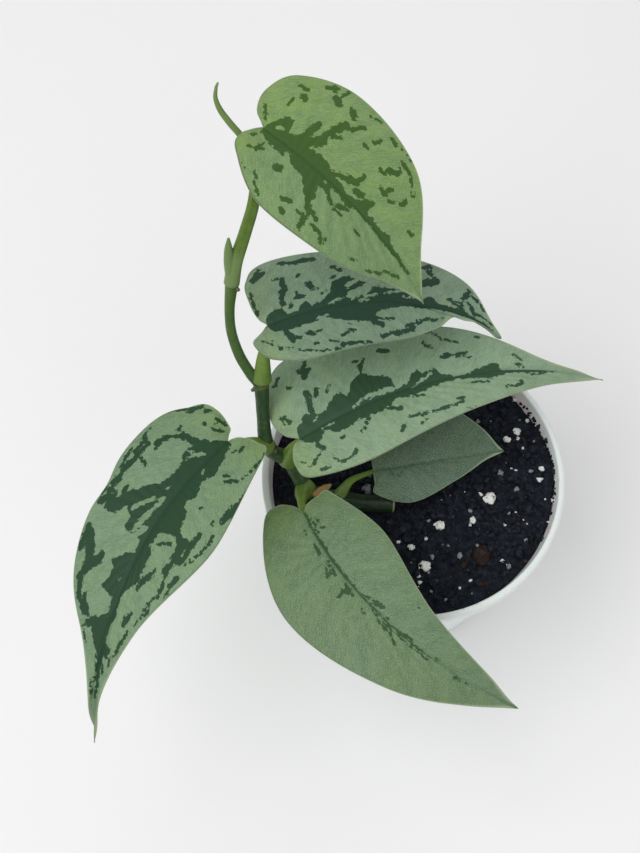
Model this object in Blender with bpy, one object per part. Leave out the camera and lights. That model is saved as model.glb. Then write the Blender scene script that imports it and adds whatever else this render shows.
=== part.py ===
"""Satin pothos growing in its nursery pot.

Every piece is one closed solid. Sizes in this file are millimetres, and MM turns them into metres.
The origin is the centre of the pot's flat bottom, +Z is up and -Y faces the viewer.
"""

import math
import random
from dataclasses import dataclass

import bmesh
import bpy
import numpy as np

MM = 0.001
GAP = 0.3  # clearance that touching pieces keep

# Pot
POT_HEIGHT = 88.0
RIM_RADIUS = 51.5
WALL_TOP_RADIUS = 48.9
WALL_BOTTOM_RADIUS = 36.2
WALL = 0.9
FLOOR = 1.2
RIM_SKIRT = 3.8
POT_SIDES = 56
DRAIN_COUNT = 6
DRAIN_RADIUS = 3.5
DRAIN_CIRCLE = 24.0

# Soil
SOIL_LEVEL = 81.4
SOIL_RINGS = 15
SOIL_LUMP = 0.8
TROUGH_REACH = 6.5
GRAIN_SEED = 11
GRAIN_COUNT = 32
GRAIN_RADIUS = (0.8, 1.5)
GRAIN_CLEAR_OF_STEM = 8.0
# the larger perlite grains, each with its x, y and radius
LARGE_GRAINS = [
    (26.3, -1.2, 2.3), (11.7, -14.0, 2.0), (21.7, -9.5, 1.7), (9.4, -29.5, 1.9), (3.3, -23.2, 1.8),
    (30.8, 22.3, 1.9), (32.8, 25.4, 1.6), (42.4, 9.0, 1.6), (29.1, 8.6, 1.5), (26.4, -21.3, 3.2),
]

# Stem: x, y, z and radius, from the old cutting's cut end over the nodes to the youngest node
STEM_SIDES = 10
STEM_RINGS = 50
STEM = [
    (-5.2, -10.3, 85.4, 2.8),
    (-14.5, -12.0, 85.2, 2.9),
    (-23.6, -12.9, 85.8, 3.1),
    (-29.5, -13.2, 87.0, 2.6),
    (-34.6, -12.7, 89.6, 2.8),
    (-38.4, -9.8, 93.8, 2.3),
    (-41.7, -7.0, 98.0, 2.5),
    (-48.5, -6.1, 104.0, 2.5),
    (-51.3, 1.0, 113.0, 2.0),
    (-53.0, 7.6, 121.6, 2.4),
    (-56.3, 9.2, 126.2, 1.9),
    (-60.3, 12.0, 132.0, 1.7),
    (-63.2, 15.7, 139.0, 1.6),
    (-64.3, 19.5, 146.0, 1.6),
    (-64.1, 23.2, 152.5, 2.0),
]
NODE_0, NODE_1, NODE_2, NODE_3, NODE_4, NODE_5 = (STEM[i][:3] for i in (2, 4, 6, 7, 9, 14))
ROOT_DEPTH = 22.0
ROOT_RADIUS = 1.7
# aerial-root stubs, each a node with the direction it points
ROOT_STUBS = [(NODE_3, (0.9, -0.4, 0.2)), (NODE_4, (-0.8, -0.6, -0.1)), (NODE_5, (0.8, -0.6, 0.0))]
STUB_REACH = 3.3

# Blades
BLADE_THICKNESS = 0.75
BLADE_ROWS = 18
BLADE_RIBS = 5
MIDRIB_STEPS = 60
FOLD = 8.0  # degrees that each half rises from the midrib
ARCH = 3.0  # how far the margins bend back down
RIB_START = 2.2
RIB_SWEEP = 1.4


@dataclass
class Side:
    """Half of a blade's outline: width in mm, the rest as shares of the length or the width."""

    width: float
    lobe: float
    cheek: float
    belly: float
    shoulder: float
    acumen: float
    wave: float = 0.0
    waves: float = 3.0
    phase: float = 0.0


@dataclass
class Leaf:
    """A blade: where it joins its stalk, its attitude in degrees, and its two halves."""

    base: tuple
    heading: float
    pitch: float
    droop: float
    sway: float
    roll: float
    twist: float
    length: float
    left: Side
    right: Side


# Leaves: base, heading, pitch, droop, sway, roll, twist and length, then the two halves
LEAVES = {
    "leaf_1": Leaf(
        (-60.0, 58.0, 188.0), -23, -11, 40, -12, -11, 5, 72.0,
        Side(30.5, 0.10, 0.75, 0.20, 0.80, 0.25, 0.5, 3.0, 0.5),
        Side(22.5, 0.05, 0.60, 0.20, 0.85, 0.35, 0.6, 3.0, 2.0),
    ),
    "leaf_2": Leaf(
        (-52.5, 19.0, 141.0), 33, 6, 40, -38, -10, 10, 80.0,
        Side(24.0, 0.05, 0.75, 0.10, 0.75, 0.50, 0.6, 3.0, 1.0),
        Side(18.0, 0.05, 0.65, 0.15, 0.75, 0.15, 1.2, 3.5, 2.6),
    ),
    "leaf_3": Leaf(
        (-38.0, -5.0, 113.0), 39, 16, 42, -31, -6, -1, 107.0,
        Side(28.0, 0.05, 0.70, 0.10, 0.70, 0.15, 0.5, 3.0, 0.0),
        Side(18.5, 0.05, 0.80, 0.20, 0.70, 0.30, 0.6, 3.0, 1.5),
    ),
    "leaf_4": Leaf(
        (-60.0, -11.5, 116.0), -124, 3, 56, 41, 15, 9, 112.0,
        Side(23.0, 0.05, 0.65, 0.30, 0.45, 0.10, 0.6, 3.0, 0.8),
        Side(26.0, 0.05, 0.75, 0.10, 0.80, 0.15, 1.3, 4.0, 0.4),
    ),
    "leaf_5": Leaf(
        (-32.5, -26.0, 103.0), -58, 17, 53, 54, 15, 0, 98.0,
        Side(18.5, 0.03, 0.60, 0.25, 0.60, 0.30, 0.4, 3.0, 0.0),
        Side(23.0, 0.07, 0.60, 0.25, 0.70, 0.30, 0.5, 3.0, 2.0),
    ),
    "leaf_6": Leaf(
        (-13.5, -3.5, 93.0), 17, 8, 25, 8, 11, 4, 46.0,
        Side(22.5, 0.0, 0.60, 0.35, 0.75, 0.40, 0.3, 2.0, 0.0),
        Side(12.5, 0.0, 0.65, 0.25, 0.60, 0.20, 0.3, 2.0, 1.0),
    ),
}

# the dry scale that lies across the stem's foot
BRACT = Leaf(
    (-31.6, -15.4, 91.2), 42.0, 10.0, 12.0, 0.0, 0.0, 0.0, 7.4,
    Side(1.3, 0.0, 0.80, 0.30, 0.80, 0.30),
    Side(1.3, 0.0, 0.80, 0.30, 0.80, 0.30),
)
BRACT_ROWS = 8
BRACT_RIBS = 2

# Petioles: x, y, z and radius from the node they grow on; the end goes under the blade's midrib
PETIOLE_SIDES = 8
PETIOLES = {
    1: [(*NODE_5, 2.0), (-63.6, 27.0, 160.0, 2.1), (-61.8, 33.3, 170.0, 1.9), (-60.2, 39.3, 177.2, 1.8),
        (-60.0, 48.0, 182.6, 1.6)],
    2: [(*NODE_4, 2.2), (-53.3, 11.4, 128.0, 1.9), (-52.6, 14.4, 134.0, 1.5)],
    3: [(*NODE_2, 2.3), (-41.6, -6.8, 103.5, 1.9), (-40.4, -6.2, 107.6, 1.5)],
    4: [(*NODE_3, 2.3), (-52.8, -7.6, 109.0, 1.8), (-57.0, -9.8, 111.8, 1.4)],
    5: [(*NODE_1, 2.5), (-35.6, -16.6, 93.0, 1.8), (-34.4, -20.6, 97.0, 1.5)],
    6: [(*NODE_0, 2.6), (-22.2, -10.4, 88.8, 1.5), (-20.4, -7.6, 90.4, 1.1), (-17.4, -5.4, 91.0, 0.9)],
}
PETIOLE_END_RADIUS = {1: 1.4, 2: 1.3, 3: 1.3, 4: 1.3, 5: 1.3, 6: 0.8}
RINGS_PER_MM = 0.45
# the free tip of petiole 1's sheath: x, y, z and radius
LIGULE = [(-64.4, 25.8, 159.0, 1.5), (-65.4, 28.2, 164.5, 1.0), (-65.9, 30.2, 169.6, 0.35)]

# New leaf, still rolled to a spear
SPEAR = [
    (-60.1, 47.0, 182.1, 1.0), (-62.4, 50.4, 184.4, 1.0), (-65.4, 54.2, 186.6, 1.0), (-69.4, 56.2, 190.2, 1.0),
    (-72.4, 57.6, 193.8, 0.9), (-73.9, 59.0, 197.0, 0.7), (-74.0, 60.7, 199.4, 0.5), (-73.7, 61.6, 200.4, 0.35),
]
SPEAR_RINGS = 22


def clear_scene():
    """Remove every object that the file opens with."""
    for old in list(bpy.data.objects):
        bpy.data.objects.remove(old, do_unlink=True)


def material(name, colour, roughness, metallic=0.0):
    """A plain Principled material."""
    made = bpy.data.materials.new(name)
    made.use_nodes = True
    shader = made.node_tree.nodes["Principled BSDF"]
    shader.inputs["Base Color"].default_value = (*colour, 1.0)
    shader.inputs["Roughness"].default_value = roughness
    shader.inputs["Metallic"].default_value = metallic
    return made


def solid(name, points, faces, finish=None):
    """A mesh object from points in mm."""
    mesh = bpy.data.meshes.new(name)
    mesh.from_pydata([tuple(float(v) * MM for v in point) for point in points], [], faces)
    mesh.validate()
    made = bpy.data.objects.new(name, mesh)
    bpy.context.scene.collection.objects.link(made)
    if finish:
        mesh.materials.append(finish)
    return made


def smooth(piece, angle=40.0):
    """Shade round faces smooth and keep the sharp edges."""
    piece.data.shade_smooth()
    piece.data.set_sharp_from_angle(angle=math.radians(angle))


def curve_through(points, count):
    """Points on a Catmull-Rom curve through the given ones, which may carry a radius."""
    given = np.asarray(points, dtype=float)
    ends = np.vstack([2 * given[0] - given[1], given, 2 * given[-1] - given[-2]])
    spans = len(given) - 1
    result = []
    for place in np.linspace(0.0, spans, count):
        span = min(int(place), spans - 1)
        u = place - span
        a, b, c, d = ends[span:span + 4]
        linear, square, cube = c - a, 2 * a - 5 * b + 4 * c - d, 3 * b - a - 3 * c + d
        result.append(0.5 * (2 * b + linear * u + square * u**2 + cube * u**3))
    return np.array(result)


def unit(vector):
    """The vector at length one."""
    vector = np.asarray(vector, dtype=float)
    return vector / np.linalg.norm(vector)


def swept(name, path, rings, sides, finish=None, grow=0.0):
    """A tube of changing radius along a smooth curve through the path, with domed ends."""
    curve = curve_through(path, rings)
    centres, radii = curve[:, :3], curve[:, 3] + grow
    tangents = np.gradient(centres, axis=0)
    tangents /= np.linalg.norm(tangents, axis=1)[:, None]
    across = unit(np.cross(tangents[0], (0.3, -0.8, 0.5)))
    stations = []
    for centre, tangent, radius in zip(centres, tangents, radii):
        across = unit(across - tangent * np.dot(across, tangent))
        stations.append((centre, tangent, across.copy(), radius))
    first, last = stations[0], stations[-1]
    dome = 0.5
    stations.insert(0, (first[0] - first[1] * first[3] * dome, first[1], first[2], first[3] * 0.6))
    stations.append((last[0] + last[1] * last[3] * dome, last[1], last[2], last[3] * 0.6))
    points = []
    for centre, tangent, side, radius in stations:
        other = np.cross(tangent, side)
        for k in range(sides):
            turn = 2 * math.pi * k / sides
            points.append(centre + radius * (math.cos(turn) * side + math.sin(turn) * other))
    faces = []
    for ring in range(len(stations) - 1):
        for k in range(sides):
            here = ring * sides
            after = (k + 1) % sides
            faces.append((here + k, here + after, here + sides + after, here + sides + k))
    faces.append(tuple(reversed(range(sides))))
    faces.append(tuple(len(points) - sides + k for k in range(sides)))
    return solid(name, points, faces, finish)


def turned(name, profile, sides, finish=None):
    """A solid of revolution from (radius, height) points that start and end on the axis, bottom first."""
    points = [(0.0, 0.0, profile[0][1])]
    for radius, height in profile[1:-1]:
        for k in range(sides):
            turn = 2 * math.pi * k / sides
            points.append((radius * math.cos(turn), radius * math.sin(turn), height))
    top = len(points)
    points.append((0.0, 0.0, profile[-1][1]))
    faces = []
    rows = len(profile) - 2
    for k in range(sides):
        after = (k + 1) % sides
        faces.append((0, 1 + after, 1 + k))
        for row in range(rows - 1):
            low = 1 + row * sides
            faces.append((low + k, low + after, low + sides + after, low + sides + k))
        high = 1 + (rows - 1) * sides
        faces.append((high + k, high + after, top))
    return solid(name, points, faces, finish)


def combine(piece, others, operation, solver="EXACT"):
    """Apply one Boolean with all the others, and remove them."""
    group = bpy.data.collections.new(piece.name + "_group")
    bpy.context.scene.collection.children.link(group)
    for other in others:
        group.objects.link(other)
    step = piece.modifiers.new("combine", "BOOLEAN")
    step.operation = operation
    step.solver = solver
    step.operand_type = "COLLECTION"
    step.collection = group
    bpy.context.view_layer.update()
    graph = bpy.context.evaluated_depsgraph_get()
    result = bpy.data.meshes.new_from_object(piece.evaluated_get(graph), depsgraph=graph)
    piece.modifiers.remove(step)
    piece.data = result
    for other in others:
        bpy.data.objects.remove(other, do_unlink=True)
    bpy.data.collections.remove(group)


def wall_radius(height):
    """Outer radius of the pot's wall at a height."""
    return WALL_BOTTOM_RADIUS + (WALL_TOP_RADIUS - WALL_BOTTOM_RADIUS) * height / POT_HEIGHT


def make_pot(finish):
    """The thin nursery pot: tapered wall, turned-down rim and drain holes."""
    under_rim = POT_HEIGHT - WALL
    skirt = POT_HEIGHT - RIM_SKIRT
    profile = [
        (0.0, 0.0),
        (WALL_BOTTOM_RADIUS - 1.2, 0.0),
        (WALL_BOTTOM_RADIUS, 1.0),
        (wall_radius(under_rim), under_rim),
        (RIM_RADIUS - WALL - 0.5, under_rim),
        (RIM_RADIUS - WALL - 0.1, under_rim - 0.5),
        (RIM_RADIUS - WALL, skirt),
        (RIM_RADIUS, skirt),
        (RIM_RADIUS, POT_HEIGHT - 1.1),
        (RIM_RADIUS - 0.4, POT_HEIGHT - 0.3),
        (RIM_RADIUS - 1.2, POT_HEIGHT),
        (WALL_TOP_RADIUS - WALL + 0.5, POT_HEIGHT),
        (wall_radius(POT_HEIGHT - 0.6) - WALL, POT_HEIGHT - 0.6),
        (wall_radius(FLOOR + 1.0) - WALL, FLOOR + 1.0),
        (wall_radius(FLOOR) - WALL - 1.0, FLOOR),
        (0.0, FLOOR),
    ]
    pot = turned("pot", profile, POT_SIDES, finish)
    drains = []
    for k in range(DRAIN_COUNT):
        turn = 2 * math.pi * (k + 0.5) / DRAIN_COUNT
        drain = turned("drain", [(0, -2), (DRAIN_RADIUS, -2), (DRAIN_RADIUS, 4), (0, 4)], 14)
        drain.location = (DRAIN_CIRCLE * math.cos(turn) * MM, DRAIN_CIRCLE * math.sin(turn) * MM, 0.0)
        drains.append(drain)
    combine(pot, drains, "DIFFERENCE")
    smooth(pot)
    return pot


def soil_height(x, y):
    """Height of the soil's surface: low lumps, and a trough below the old cutting."""
    lumps = 0.55 * math.sin(0.23 * x + 1.1) * math.cos(0.19 * y - 0.4)
    lumps += 0.35 * math.sin(0.47 * x - 0.36 * y + 0.8) + 0.25 * math.cos(0.71 * y + 0.52 * x)
    height = SOIL_LEVEL + SOIL_LUMP * lumps
    for cx, cy, cz, radius in curve_through(STEM[:5], 24):
        distance = math.hypot(x - cx, y - cy)
        if distance < TROUGH_REACH:
            height = min(height, cz - radius - 2 * GAP)
    return height


def make_soil(finish):
    """The soil: it fills the pot, its surface is lumpy, and perlite grains stand out of it."""
    floor = FLOOR + GAP
    edge = [(wall_radius(floor) - WALL - 1.6, floor), (wall_radius(floor + 1.6) - WALL - GAP, floor + 1.6)]
    rim_radius = wall_radius(SOIL_LEVEL) - WALL - GAP
    points = [(0.0, 0.0, floor)]
    for radius, height in edge:
        for k in range(POT_SIDES):
            turn = 2 * math.pi * k / POT_SIDES
            points.append((radius * math.cos(turn), radius * math.sin(turn), height))
    for ring in range(SOIL_RINGS):
        radius = rim_radius * (1.0 - ring / SOIL_RINGS)
        for k in range(POT_SIDES):
            turn = 2 * math.pi * k / POT_SIDES
            x, y = radius * math.cos(turn), radius * math.sin(turn)
            height = min(soil_height(x, y), SOIL_LEVEL) if ring == 0 else soil_height(x, y)
            points.append((x, y, height))
    centre = len(points)
    points.append((0.0, 0.0, soil_height(0.0, 0.0)))
    faces = []
    rows = len(edge) + SOIL_RINGS
    for k in range(POT_SIDES):
        after = (k + 1) % POT_SIDES
        faces.append((0, 1 + after, 1 + k))
        for row in range(rows - 1):
            low = 1 + row * POT_SIDES
            high = low + POT_SIDES
            faces.append((low + k, low + after, high + after))
            faces.append((low + k, high + after, high + k))
        last = 1 + (rows - 1) * POT_SIDES
        faces.append((last + k, last + after, centre))
    soil = solid("soil", points, faces, finish)
    combine(soil, make_grains(rim_radius), "UNION")
    x, y, z = NODE_0
    hole = [(x, y, z - ROOT_DEPTH - 2.0, ROOT_RADIUS + GAP), (x, y, z, ROOT_RADIUS + GAP)]
    combine(soil, [swept("root_hole", hole, 2, STEM_SIDES)], "DIFFERENCE")
    smooth(soil)
    return soil


def stem_distance(x, y):
    """Plan distance from the stem's low stretch."""
    return min(math.hypot(x - c[0], y - c[1]) for c in curve_through(STEM[:6], 30))


def make_grains(reach):
    """Perlite grains and small lumps, sunk into the soil's surface."""
    draw = random.Random(GRAIN_SEED)
    places = list(LARGE_GRAINS)
    while len(places) < len(LARGE_GRAINS) + GRAIN_COUNT:
        turn, out = draw.uniform(0, 2 * math.pi), math.sqrt(draw.random()) * (reach - 3.0)
        x, y, radius = out * math.cos(turn), out * math.sin(turn), draw.uniform(*GRAIN_RADIUS)
        apart = min(math.hypot(x - p[0], y - p[1]) - p[2] - radius for p in places)
        if apart > 1.0 and stem_distance(x, y) > GRAIN_CLEAR_OF_STEM:
            places.append((x, y, radius))
    golden = (1 + math.sqrt(5)) / 2
    corners = [(0, s, t * golden) for s in (-1, 1) for t in (-1, 1)]
    corners = [tuple(np.roll(c, shift)) for shift in range(3) for c in corners]
    grains = []
    for x, y, radius in places:
        spin = draw.uniform(0, math.pi)
        points = []
        for corner in corners:
            px, py, pz = unit(corner) * radius * draw.uniform(0.85, 1.15)
            turned_x = px * math.cos(spin) - py * math.sin(spin)
            turned_y = px * math.sin(spin) + py * math.cos(spin)
            points.append((x + turned_x, y + turned_y, soil_height(x, y) + 0.15 * radius + 0.8 * pz))
        grains.append(hull("grain", points))
    return grains


def hull(name, points):
    """The convex hull of a few points, as an object."""
    shape = bmesh.new()
    for point in points:
        shape.verts.new([v * MM for v in point])
    bmesh.ops.convex_hull(shape, input=shape.verts)
    bmesh.ops.recalc_face_normals(shape, faces=shape.faces)
    mesh = bpy.data.meshes.new(name)
    shape.to_mesh(mesh)
    shape.free()
    made = bpy.data.objects.new(name, mesh)
    bpy.context.scene.collection.objects.link(made)
    return made


def make_stem(finish):
    """The vine, with its rooted end in the soil and its aerial-root stubs."""
    stem = swept("stem", STEM, STEM_RINGS, STEM_SIDES, finish)
    x, y, z = NODE_0
    low, middle = z - ROOT_DEPTH, z - 0.6 * ROOT_DEPTH
    root = [(x, y, low, 0.6 * ROOT_RADIUS), (x, y, middle, ROOT_RADIUS), (x, y, z, ROOT_RADIUS)]
    grown = [swept("root", root, 8, 8)]
    for place, way in ROOT_STUBS:
        reach = np.asarray(place) + unit(way) * STUB_REACH
        grown.append(swept("stub", [(*place, 1.1), (*reach, 0.6)], 3, 7))
    combine(stem, grown, "UNION")
    smooth(stem)
    return stem


def stem_clearance():
    """The stem swollen by the gap, which seats each petiole on it."""
    return swept("stem_clearance", STEM, STEM_RINGS, STEM_SIDES, grow=GAP + 0.05)


def half_outline(side, places):
    """Points of half an outline at places 0 (the stalk) to 1 (the tip): share of length, share of width."""
    rest = 1.0 - side.belly
    shape = [
        (0.0, 0.0),
        (-0.70 * side.lobe, 0.12),
        (-side.lobe, 0.54 * side.cheek),
        (-0.35 * side.lobe, side.cheek),
        (side.belly, 1.0),
        (side.belly + 0.45 * rest, side.shoulder),
        (side.belly + 0.76 * rest, side.acumen),
        (side.belly + 0.92 * rest, 0.30 * side.acumen),
        (1.0, 0.0),
    ]
    fine = curve_through(shape, 401)
    return fine[np.round(np.asarray(places) * 400).astype(int)]


def midrib_frames(leaf, along):
    """Point, lateral direction and normal of the midrib at shares of its length."""
    steps = np.linspace(0.0, 1.0, MIDRIB_STEPS + 1)
    pitch = np.radians(leaf.pitch - leaf.droop * steps**1.3)
    heading = np.radians(leaf.heading + leaf.sway * steps)
    level_part = np.cos(pitch)
    tangents = np.column_stack([level_part * np.cos(heading), level_part * np.sin(heading), np.sin(pitch)])
    line = np.zeros_like(tangents)
    line[1:] = np.cumsum((tangents[1:] + tangents[:-1]) / 2, axis=0) * leaf.length / MIDRIB_STEPS
    inside = np.clip(along, 0.0, 1.0)
    tangent = np.column_stack([np.interp(inside, steps, tangents[:, k]) for k in range(3)])
    point = np.column_stack([np.interp(inside, steps, line[:, k]) for k in range(3)])
    point += np.minimum(along, 0.0)[:, None] * leaf.length * tangent
    turn = np.radians(leaf.heading + leaf.sway * inside)
    level = np.column_stack([-np.sin(turn), np.cos(turn), np.zeros_like(turn)])
    upright = np.cross(tangent, level)
    roll = np.radians(leaf.roll + leaf.twist * inside)[:, None]
    lateral = level * np.cos(roll) + upright * np.sin(roll)
    normal = upright * np.cos(roll) - level * np.sin(roll)
    return point + np.asarray(leaf.base), lateral, normal


def blade_row(leaf, sign, place, ribs):
    """Mid-surface points and normals of one lateral vein, from the midrib to the margin."""
    side = leaf.left if sign > 0 else leaf.right
    margin_along, margin_across = half_outline(side, [place])[0]
    across = np.arange(ribs + 1) / ribs
    start = place**RIB_START
    along = start + (margin_along - start) * across**RIB_SWEEP
    share = margin_across * across
    point, lateral, normal = midrib_frames(leaf, along)
    fold = math.radians(FOLD)
    rise = share * side.width * math.sin(fold) - ARCH * min(1.0, leaf.length / 40.0) * share**2
    rise += side.wave * np.sin(2 * math.pi * side.waves * place + side.phase) * across**2
    out = sign * share * side.width * math.cos(fold)
    return point + lateral * out[:, None] + normal * rise[:, None], normal


def blade(name, leaf, finish, thickness=BLADE_THICKNESS, rows=BLADE_ROWS, ribs=BLADE_RIBS):
    """A closed thin blade, split into triangles alike on both faces."""
    middle, normals = [], []

    def add(point, normal):
        middle.append(point)
        normals.append(normal)
        return len(middle) - 1

    ends, _, end_normals = midrib_frames(leaf, np.array([0.0, 1.0]))
    stalk = add(ends[0], end_normals[0])
    lines = []
    for place in np.arange(1, rows) / rows:
        left, left_normals = blade_row(leaf, 1, place, ribs)
        right, right_normals = blade_row(leaf, -1, place, ribs)
        row = [add(p, n) for p, n in zip(right[:0:-1], right_normals[:0:-1])]
        row += [add(p, n) for p, n in zip(left, left_normals)]
        lines.append(row)
    tip = add(ends[1], end_normals[1])
    triangles = []
    width = 2 * ribs
    for k in range(width):
        triangles.append((stalk, lines[0][k], lines[0][k + 1]))
        triangles.append((lines[-1][k + 1], lines[-1][k], tip))
    for here, after in zip(lines[:-1], lines[1:]):
        for k in range(width):
            a, b, c, d = here[k], here[k + 1], after[k + 1], after[k]
            if k < ribs:
                triangles += [(a, d, b), (b, d, c)]
            else:
                triangles += [(a, d, c), (a, c, b)]
    middle, normals = np.array(middle), np.array(normals)
    count = len(middle)
    points = np.vstack([middle + normals * thickness / 2, middle - normals * thickness / 2])
    faces = list(triangles) + [(a + count, c + count, b + count) for a, b, c in triangles]
    right_edge = [stalk] + [row[0] for row in lines] + [tip]
    left_edge = [stalk] + [row[-1] for row in lines] + [tip]
    for a, b in zip(right_edge[:-1], right_edge[1:]):
        faces += [(b, a, b + count), (a, a + count, b + count)]
    for a, b in zip(left_edge[:-1], left_edge[1:]):
        faces += [(a, b, a + count), (b, b + count, a + count)]
    piece = solid(name, points, faces, finish)
    smooth(piece, 50.0)
    return piece


def petiole_path(number):
    """The petiole's points, ended just under its blade's midrib."""
    leaf = LEAVES[f"leaf_{number}"]
    radius = PETIOLE_END_RADIUS[number]
    point, _, normal = midrib_frames(leaf, np.array([0.01]))
    end = point[0] - normal[0] * (BLADE_THICKNESS / 2 + GAP + radius)
    return PETIOLES[number] + [(*end, radius)]


def petiole_rings(path):
    """As many rings as the petiole's length needs."""
    steps = [math.dist(a[:3], b[:3]) for a, b in zip(path[:-1], path[1:])]
    return max(8, round(sum(steps) * RINGS_PER_MM))


def make_petiole(number, finish):
    """A leaf stalk, seated on its node."""
    path = petiole_path(number)
    petiole = swept(f"petiole_{number}", path, petiole_rings(path), PETIOLE_SIDES, finish)
    if number == 1:
        combine(petiole, [swept("ligule", LIGULE, 6, 7)], "UNION")
    combine(petiole, [stem_clearance()], "DIFFERENCE")
    smooth(petiole)
    return petiole


def make_new_leaf(finish):
    """The youngest leaf, a rolled spear that leaves the channel of petiole 1."""
    spear = swept("new_leaf", SPEAR, SPEAR_RINGS, PETIOLE_SIDES, finish)
    path = petiole_path(1)
    seat = swept("petiole_clearance", path, petiole_rings(path), PETIOLE_SIDES, grow=GAP + 0.05)
    combine(spear, [seat], "DIFFERENCE")
    smooth(spear)
    return spear


def main():
    """Build the plant and its pot."""
    clear_scene()
    plastic = material("pot_plastic", (0.86, 0.88, 0.87), 0.35)
    earth = material("potting_soil", (0.012, 0.010, 0.012), 0.95)
    bark = material("stem_green", (0.10, 0.20, 0.06), 0.5)
    stalk = material("petiole_green", (0.16, 0.30, 0.08), 0.45)
    blade_green = material("satin_leaf", (0.16, 0.30, 0.17), 0.5)
    young = material("new_leaf_green", (0.20, 0.30, 0.12), 0.5)
    dry = material("dry_scale", (0.35, 0.24, 0.12), 0.8)
    make_pot(plastic)
    make_soil(earth)
    make_stem(bark)
    for number in PETIOLES:
        make_petiole(number, stalk)
    for name, leaf in LEAVES.items():
        blade(name, leaf, blade_green)
    make_new_leaf(young)
    blade("dry_bract", BRACT, dry, 0.6, BRACT_ROWS, BRACT_RIBS)


main()
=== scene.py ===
"""Looks of the satin pothos in its nursery pot: finished surfaces around the fixed CAD frame.

Lengths here are millimetres, as in the part's source, and MM turns them into metres.
"""

import math
import random
from dataclasses import dataclass

import bmesh
import bpy
import numpy as np
from mathutils import Matrix, Vector, noise


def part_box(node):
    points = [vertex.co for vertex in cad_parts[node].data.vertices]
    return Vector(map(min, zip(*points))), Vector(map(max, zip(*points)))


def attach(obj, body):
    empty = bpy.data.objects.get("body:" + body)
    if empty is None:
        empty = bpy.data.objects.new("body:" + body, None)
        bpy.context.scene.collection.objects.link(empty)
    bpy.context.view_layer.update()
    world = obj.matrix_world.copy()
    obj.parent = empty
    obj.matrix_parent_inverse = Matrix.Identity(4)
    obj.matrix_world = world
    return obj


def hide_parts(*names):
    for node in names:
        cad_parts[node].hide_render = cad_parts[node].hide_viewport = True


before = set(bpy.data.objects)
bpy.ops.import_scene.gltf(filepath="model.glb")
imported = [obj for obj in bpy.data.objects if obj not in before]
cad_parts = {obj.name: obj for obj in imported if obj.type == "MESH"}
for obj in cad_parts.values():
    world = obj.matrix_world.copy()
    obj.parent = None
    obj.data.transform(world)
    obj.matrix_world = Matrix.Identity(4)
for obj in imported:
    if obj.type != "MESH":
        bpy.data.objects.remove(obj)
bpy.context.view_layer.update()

MM = 0.001
BODY = "root"

# Camera: the photo's viewing angle on the pot's rim
RIM_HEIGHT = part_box("pot")[1][2]
VIEW_ELEVATION = 68.0
VIEW_DISTANCE = 0.45
CAMERA_TURN = 10.84
CAMERA_PITCH = 66.31
LENS_MM = 55.86

# Pot, in mm from the frame
POT_HEIGHT = RIM_HEIGHT / MM
RIM_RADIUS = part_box("pot")[1][0] / MM
WALL_TOP_RADIUS = RIM_RADIUS - 1.5
WALL_BOTTOM_RADIUS = 36.2
WALL = 0.9
FLOOR = 1.2
RIM_SKIRT = 3.8
# radii of its rounded edges, from the foot over the rim to the floor
FOOT_ROUND = 1.2
FOLD_OUTER = 0.8
FOLD_INNER = 0.7
RIM_ROUND = 1.4
LIP_ROUND = 0.7
FLOOR_ROUND = 1.6
POT_SIDES = 160
DRAIN_COUNT = 6
DRAIN_RADIUS = 3.5
DRAIN_CIRCLE = 24.0

# Soil
SOIL_LEVEL = 81.4
SOIL_STEP = 0.85
SOIL_SIDES = 220
SOIL_SEED = 5
TROUGH_REACH = 6.5
# its bank against the wall: where it starts and how far it runs, in mm, then its rise and its dip,
# each as a height in mm with its middle and spread in degrees around the pot
BANK_START = 38.0
BANK_RUN = 10.0
BANK_RISE = (3.4, 14.0, 22.0)
BANK_DIP = (-1.6, -28.0, 12.0)
# the larger perlite grains, clean and dirty, each with its x, y and radius
WHITE_GRAINS = [
    (27.0, -2.0, 2.3), (11.5, -14.5, 1.9), (9.0, -29.5, 1.9), (3.5, -23.5, 1.3), (33.0, 25.0, 1.5),
    (30.0, 21.5, 1.4), (33.5, 22.5, 0.8), (43.0, 8.5, 1.2), (43.0, 12.0, 1.1), (22.5, -10.0, 1.4),
    (21.5, -12.0, 0.9), (7.5, -33.0, 0.8), (36.0, 30.0, 0.9), (33.5, -10.0, 0.8), (8.0, -19.5, 0.7),
]
DIRTY_GRAINS = [
    (29.5, 8.5, 1.3), (19.0, 27.0, 0.9), (35.5, 4.0, 1.1), (20.0, -23.5, 1.1), (11.0, -26.0, 1.0),
    (-14.5, -6.0, 2.0),
]
BARK_CHIP = (27.0, -22.0, 3.0)
GRAIN_COUNT = 150
LUMP_SWELL = 1.5
CRUMB_COUNT = 1700
CHIP_COUNT = 40
FIBRE_COUNT = 34
FIBRE_POINTS = 5
WALL_CRUMBS = 110
# crumbs on the wall: middle and spread of their turn in degrees, lowest height and how far up they reach
WALL_CRUMB_TURN = (22.0, 16.0)
WALL_CRUMB_LOW = 82.0
WALL_CRUMB_RISE = 3.2

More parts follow.
